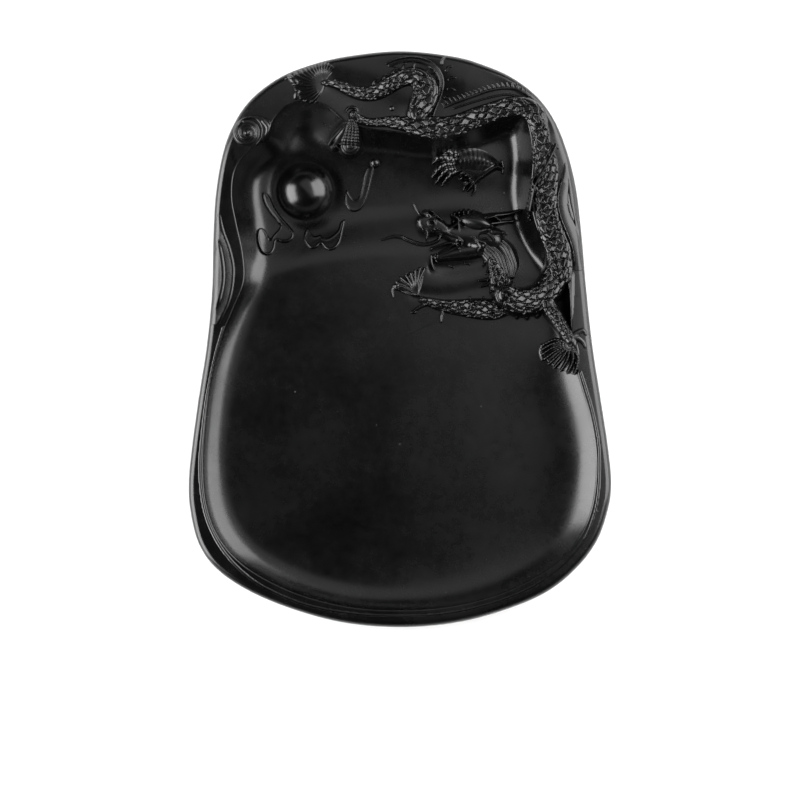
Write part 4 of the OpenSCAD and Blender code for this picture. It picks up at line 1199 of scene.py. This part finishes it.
def make_fore_leg():
    carving = Carving("fore_leg", margin=1.9, step=0.1)
    top = LIMB + 0.3
    carving.stroke([(27.4, 8.6, 5.2), (24.4, 7.8, 5.6), (21, 7.9, 5.6), (18, 8.1, 5), (15, 8.3, 4.2),
                    (12.2, 8.6, 3.6),
                    (9.8, 9.1, 3), (7.4, 9.8, 2.4), (5.6, 10.4, 1.8)], top=top - 0.5, profile=full,
                   texture=scales(1.6, 0.8))
    muscle(carving, [(23.4, 7.1, 1.8, 2.2, 10, 0.3), (21.1, 8.4, 2.2, 2.6, -20, 0.45),
                     (18.8, 9.2, 1.8, 2.4, 40, 0.3),
                     (19.6, 7.2, 1.4, 2.6, 60, 0.35), (17.9, 7.6, 1.3, 1.8, 10, 0.3),
                     (16.2, 8.5, 1.4, 1.9, -30, 0.35),
                     (15, 8.2, 1.0, 2.2, 80, 0.3), (13.6, 8.8, 1.1, 1.8, 60, 0.2),
                     (12.2, 8.7, 1.2, 1.8, 80, 0.25),
                     (10.6, 8.7, 1.0, 1.8, 95, 0.1), (8.2, 9.4, 0.9, 1.8, 20, 0.1),
                     (6.9, 10.3, 1.1, 1.9, 10, 0.2),
                     (25.3, 8.3, 1.2, 1.8, 60, 0.2), (24.6, 9.8, 1.0, 1.8, -40, 0.1),
                     (22.4, 9.8, 1.0, 1.6, -30, 0.2)], top)
    for x0, y0, x1, y1 in ((21.8, 7, 21.2, 5.3), (19.4, 7.2, 18.4, 5.9), (19, 9.8, 18.2, 11),
                           (21.6, 9.8, 21.8, 11)):
        carving.stroke([(x0, y0, 1.2), (x1, y1, 0.5)], rise=1.2)
    # Spur, and the talon under the claw.
    carving.stroke([(11.4, 7.4, 1.2), (10.9, 6, 1.3), (10.8, 4.6, 0.7)], rise=1.6)
    carving.stroke([(7.4, 9.2, 1.1), (5.6, 8.6, 1.0), (4.2, 7.8, 0.9), (3.2, 7.0, 0.6)], rise=1.2)
    carving.bump(3.6, 7.1, 1.1, rise=0.8, length=1.9)
    return carving.make("fore_leg_muscle", CARVED)


def make_fore_claw():
    carving = Carving("fore_claw", margin=2.2, step=0.1)
    apex = (4.6, 11.6)
    top = FLOOR + 1.9
    fan_of(carving, apex, [(-1.5, 13.2), (-0.9, 14.9), (0.3, 16), (1.6, 16.6), (2.8, 17.2), (4, 17.8),
                           (5.2, 18.4),
                           (6.4, 18.4)], top, 1.1, width=1.0, web=0.5, bend=0.08)
    for x, y in ((1.8, 17.2), (3.2, 17.2), (4.2, 18), (5.6, 18.6), (5.8, 17.2), (5.6, 16)):
        carving.bump(x, y, 0.75, rise=1.2)
    carving.bump(-0.8, 13.9, 1.7, rise=1.5, length=2.0, turn=20)
    carving.stroke([(-1.6, 14, 0.7), (-1.9, 12.6, 0.9), (-1.7, 11, 0.5)], rise=0.8)
    carving.groove([(1.4, 15.8), (2.6, 13.4)], 0.5, 0.4)
    return carving.make("fore_claw_fan", CARVED)


def make_rear_leg():
    carving = Carving("rear_leg", margin=1.9, step=0.1)
    carving.stroke([(38.6, 9, 5), (40, 6.6, 4.6), (41.4, 4.2, 4.2), (42.8, 1.8, 3.6), (44.2, -0.4, 3)],
                   top=CREST - 0.4, profile=full, texture=scales(1.3, 0.6))
    carving.bump(45, -1, 2.2, top=RIM + 0.9, length=3.2, turn=100)
    return carving.make("rear_leg_muscle", CARVED)


def make_rear_claw():
    carving = Carving("rear_claw", margin=2.4, step=0.1)
    tips = [(37.1, -1.6), (36.9, -2.8), (37, -4), (37.6, -5.2), (38.8, -6.4), (40.2, -7.4), (41.8, -8.2),
            (43.6, -8.8),
            (45.4, -9)]
    fan_of(carving, (44.2, -1.4), tips, RIM + 0.2, 1.5, width=0.85, web=0.2, texture=beads(0.8, 0.35),
           bend=0.2)
    carving.stroke([(36.9, -1.6, 0.9), (36.6, -3.4, 1.2), (37, -5.4, 0.7)], rise=1.0)
    return carving.make("rear_claw_fan", CARVED)


make_stone(STONE)
make_pearl()
for make_carving in (
        make_bead, make_left_clouds, make_right_clouds, make_scroll, make_lobe, make_curl, make_wisps,
        make_tail_fin, make_tail, make_loop_fin, make_body_loop, make_body_upper, make_dorsal,
        make_body_right,
        make_body_lower, make_neck, make_head, make_jaw, make_horns, make_mane, make_whisker, make_hind_leg,
        make_hind_claw, make_raised_arm, make_raised_claw, make_fore_leg, make_fore_claw, make_rear_leg,
        make_rear_claw):
    make_carving()


# ---------------------------------------------------------------- stage, light and camera

def plain_material(name, shade, roughness):
    material = bpy.data.materials.new(name)
    material.use_nodes = True
    shader = material.node_tree.nodes["Principled BSDF"]
    shader.inputs["Base Color"].default_value = (shade, shade, shade, 1)
    shader.inputs["Roughness"].default_value = roughness
    shader.inputs["Specular IOR Level"].default_value = 0.2
    return material


def make_stage():
    """A pale round floor with a low pale wall, as in a light tent."""
    radius, wall, count = 2.6, 1.1, 96
    angles = [2 * math.pi * i / count for i in range(count)]
    profile = [(radius * 0.9, 0), (radius * 0.97, 0.05), (radius, 0.2), (radius, wall)]
    vertices = [(0, 0, 0)] + [(r * math.cos(a), r * math.sin(a), z) for r, z in profile for a in angles]
    faces = [(0, 1 + i, 1 + (i + 1) % count) for i in range(count)]
    for row in range(len(profile) - 1):
        for i in range(count):
            a, b = 1 + row * count + i, 1 + row * count + (i + 1) % count
            faces.append((a, a + count, b + count, b))
    mesh = bpy.data.meshes.new("floor")
    mesh.from_pydata(vertices, [], faces)
    mesh.polygons.foreach_set("use_smooth", [True] * len(mesh.polygons))
    mesh.materials.append(plain_material("pale_floor", 0.86, 0.7))
    floor = bpy.data.objects.new("floor", mesh)
    bpy.context.scene.collection.objects.link(floor)


def softbox(name, place, aim, width, height, radiance):
    """A rectangular light, given by the brightness of its face."""
    data = bpy.data.lights.new(name, "AREA")
    data.shape = "RECTANGLE"
    data.size, data.size_y = width, height
    data.energy = radiance * math.pi * width * height
    light = bpy.data.objects.new(name, data)
    bpy.context.scene.collection.objects.link(light)
    light.location = place
    light.rotation_euler = (Vector(aim) - Vector(place)).to_track_quat("-Z", "Y").to_euler()
    light.visible_camera = False
    return light


def make_lights():
    softbox("softbox_left", (-0.8, -0.12, 0.43), (0, 0, 0.1), width=1.0, height=0.8, radiance=9.0)
    softbox("softbox_right", (0.36, 0.12, 0.26), (0, 0, 0.06), width=0.5, height=0.46, radiance=6.2)
    card = softbox("overhead_card", (0.18, 0.18, 0.5), (0.18, 0.18, 0), width=0.8, height=0.44, radiance=0.68)
    card.rotation_euler = (0, 0, math.radians(-45))
    fill = softbox("floor_fill", (0, 0, 2.0), (0, 0, 0), width=1.6, height=1.6, radiance=1.6)
    fill.visible_glossy = False
    world = bpy.data.worlds.new("studio")
    world.use_nodes = True
    background = world.node_tree.nodes["Background"]
    background.inputs["Color"].default_value = (1, 1, 1, 1)
    background.inputs["Strength"].default_value = 0.015
    bpy.context.scene.world = world


def make_camera():
    """Straight above the stone, with the stone a little above the middle of the picture. In metres."""
    frame_width, distance, below_middle = 0.208, 1.4, 0.01586
    data = bpy.data.cameras.new("camera")
    data.sensor_width = 36
    data.lens = data.sensor_width * distance / frame_width
    data.clip_end = 20
    camera = bpy.data.objects.new("camera", data)
    bpy.context.scene.collection.objects.link(camera)
    camera.location = (0, -below_middle, RIM * MM + distance)
    camera.rotation_euler = (0, 0, 0)
    bpy.context.scene.camera = camera


make_stage()
make_lights()
make_camera()
bpy.context.scene.view_settings.view_transform = "Standard"
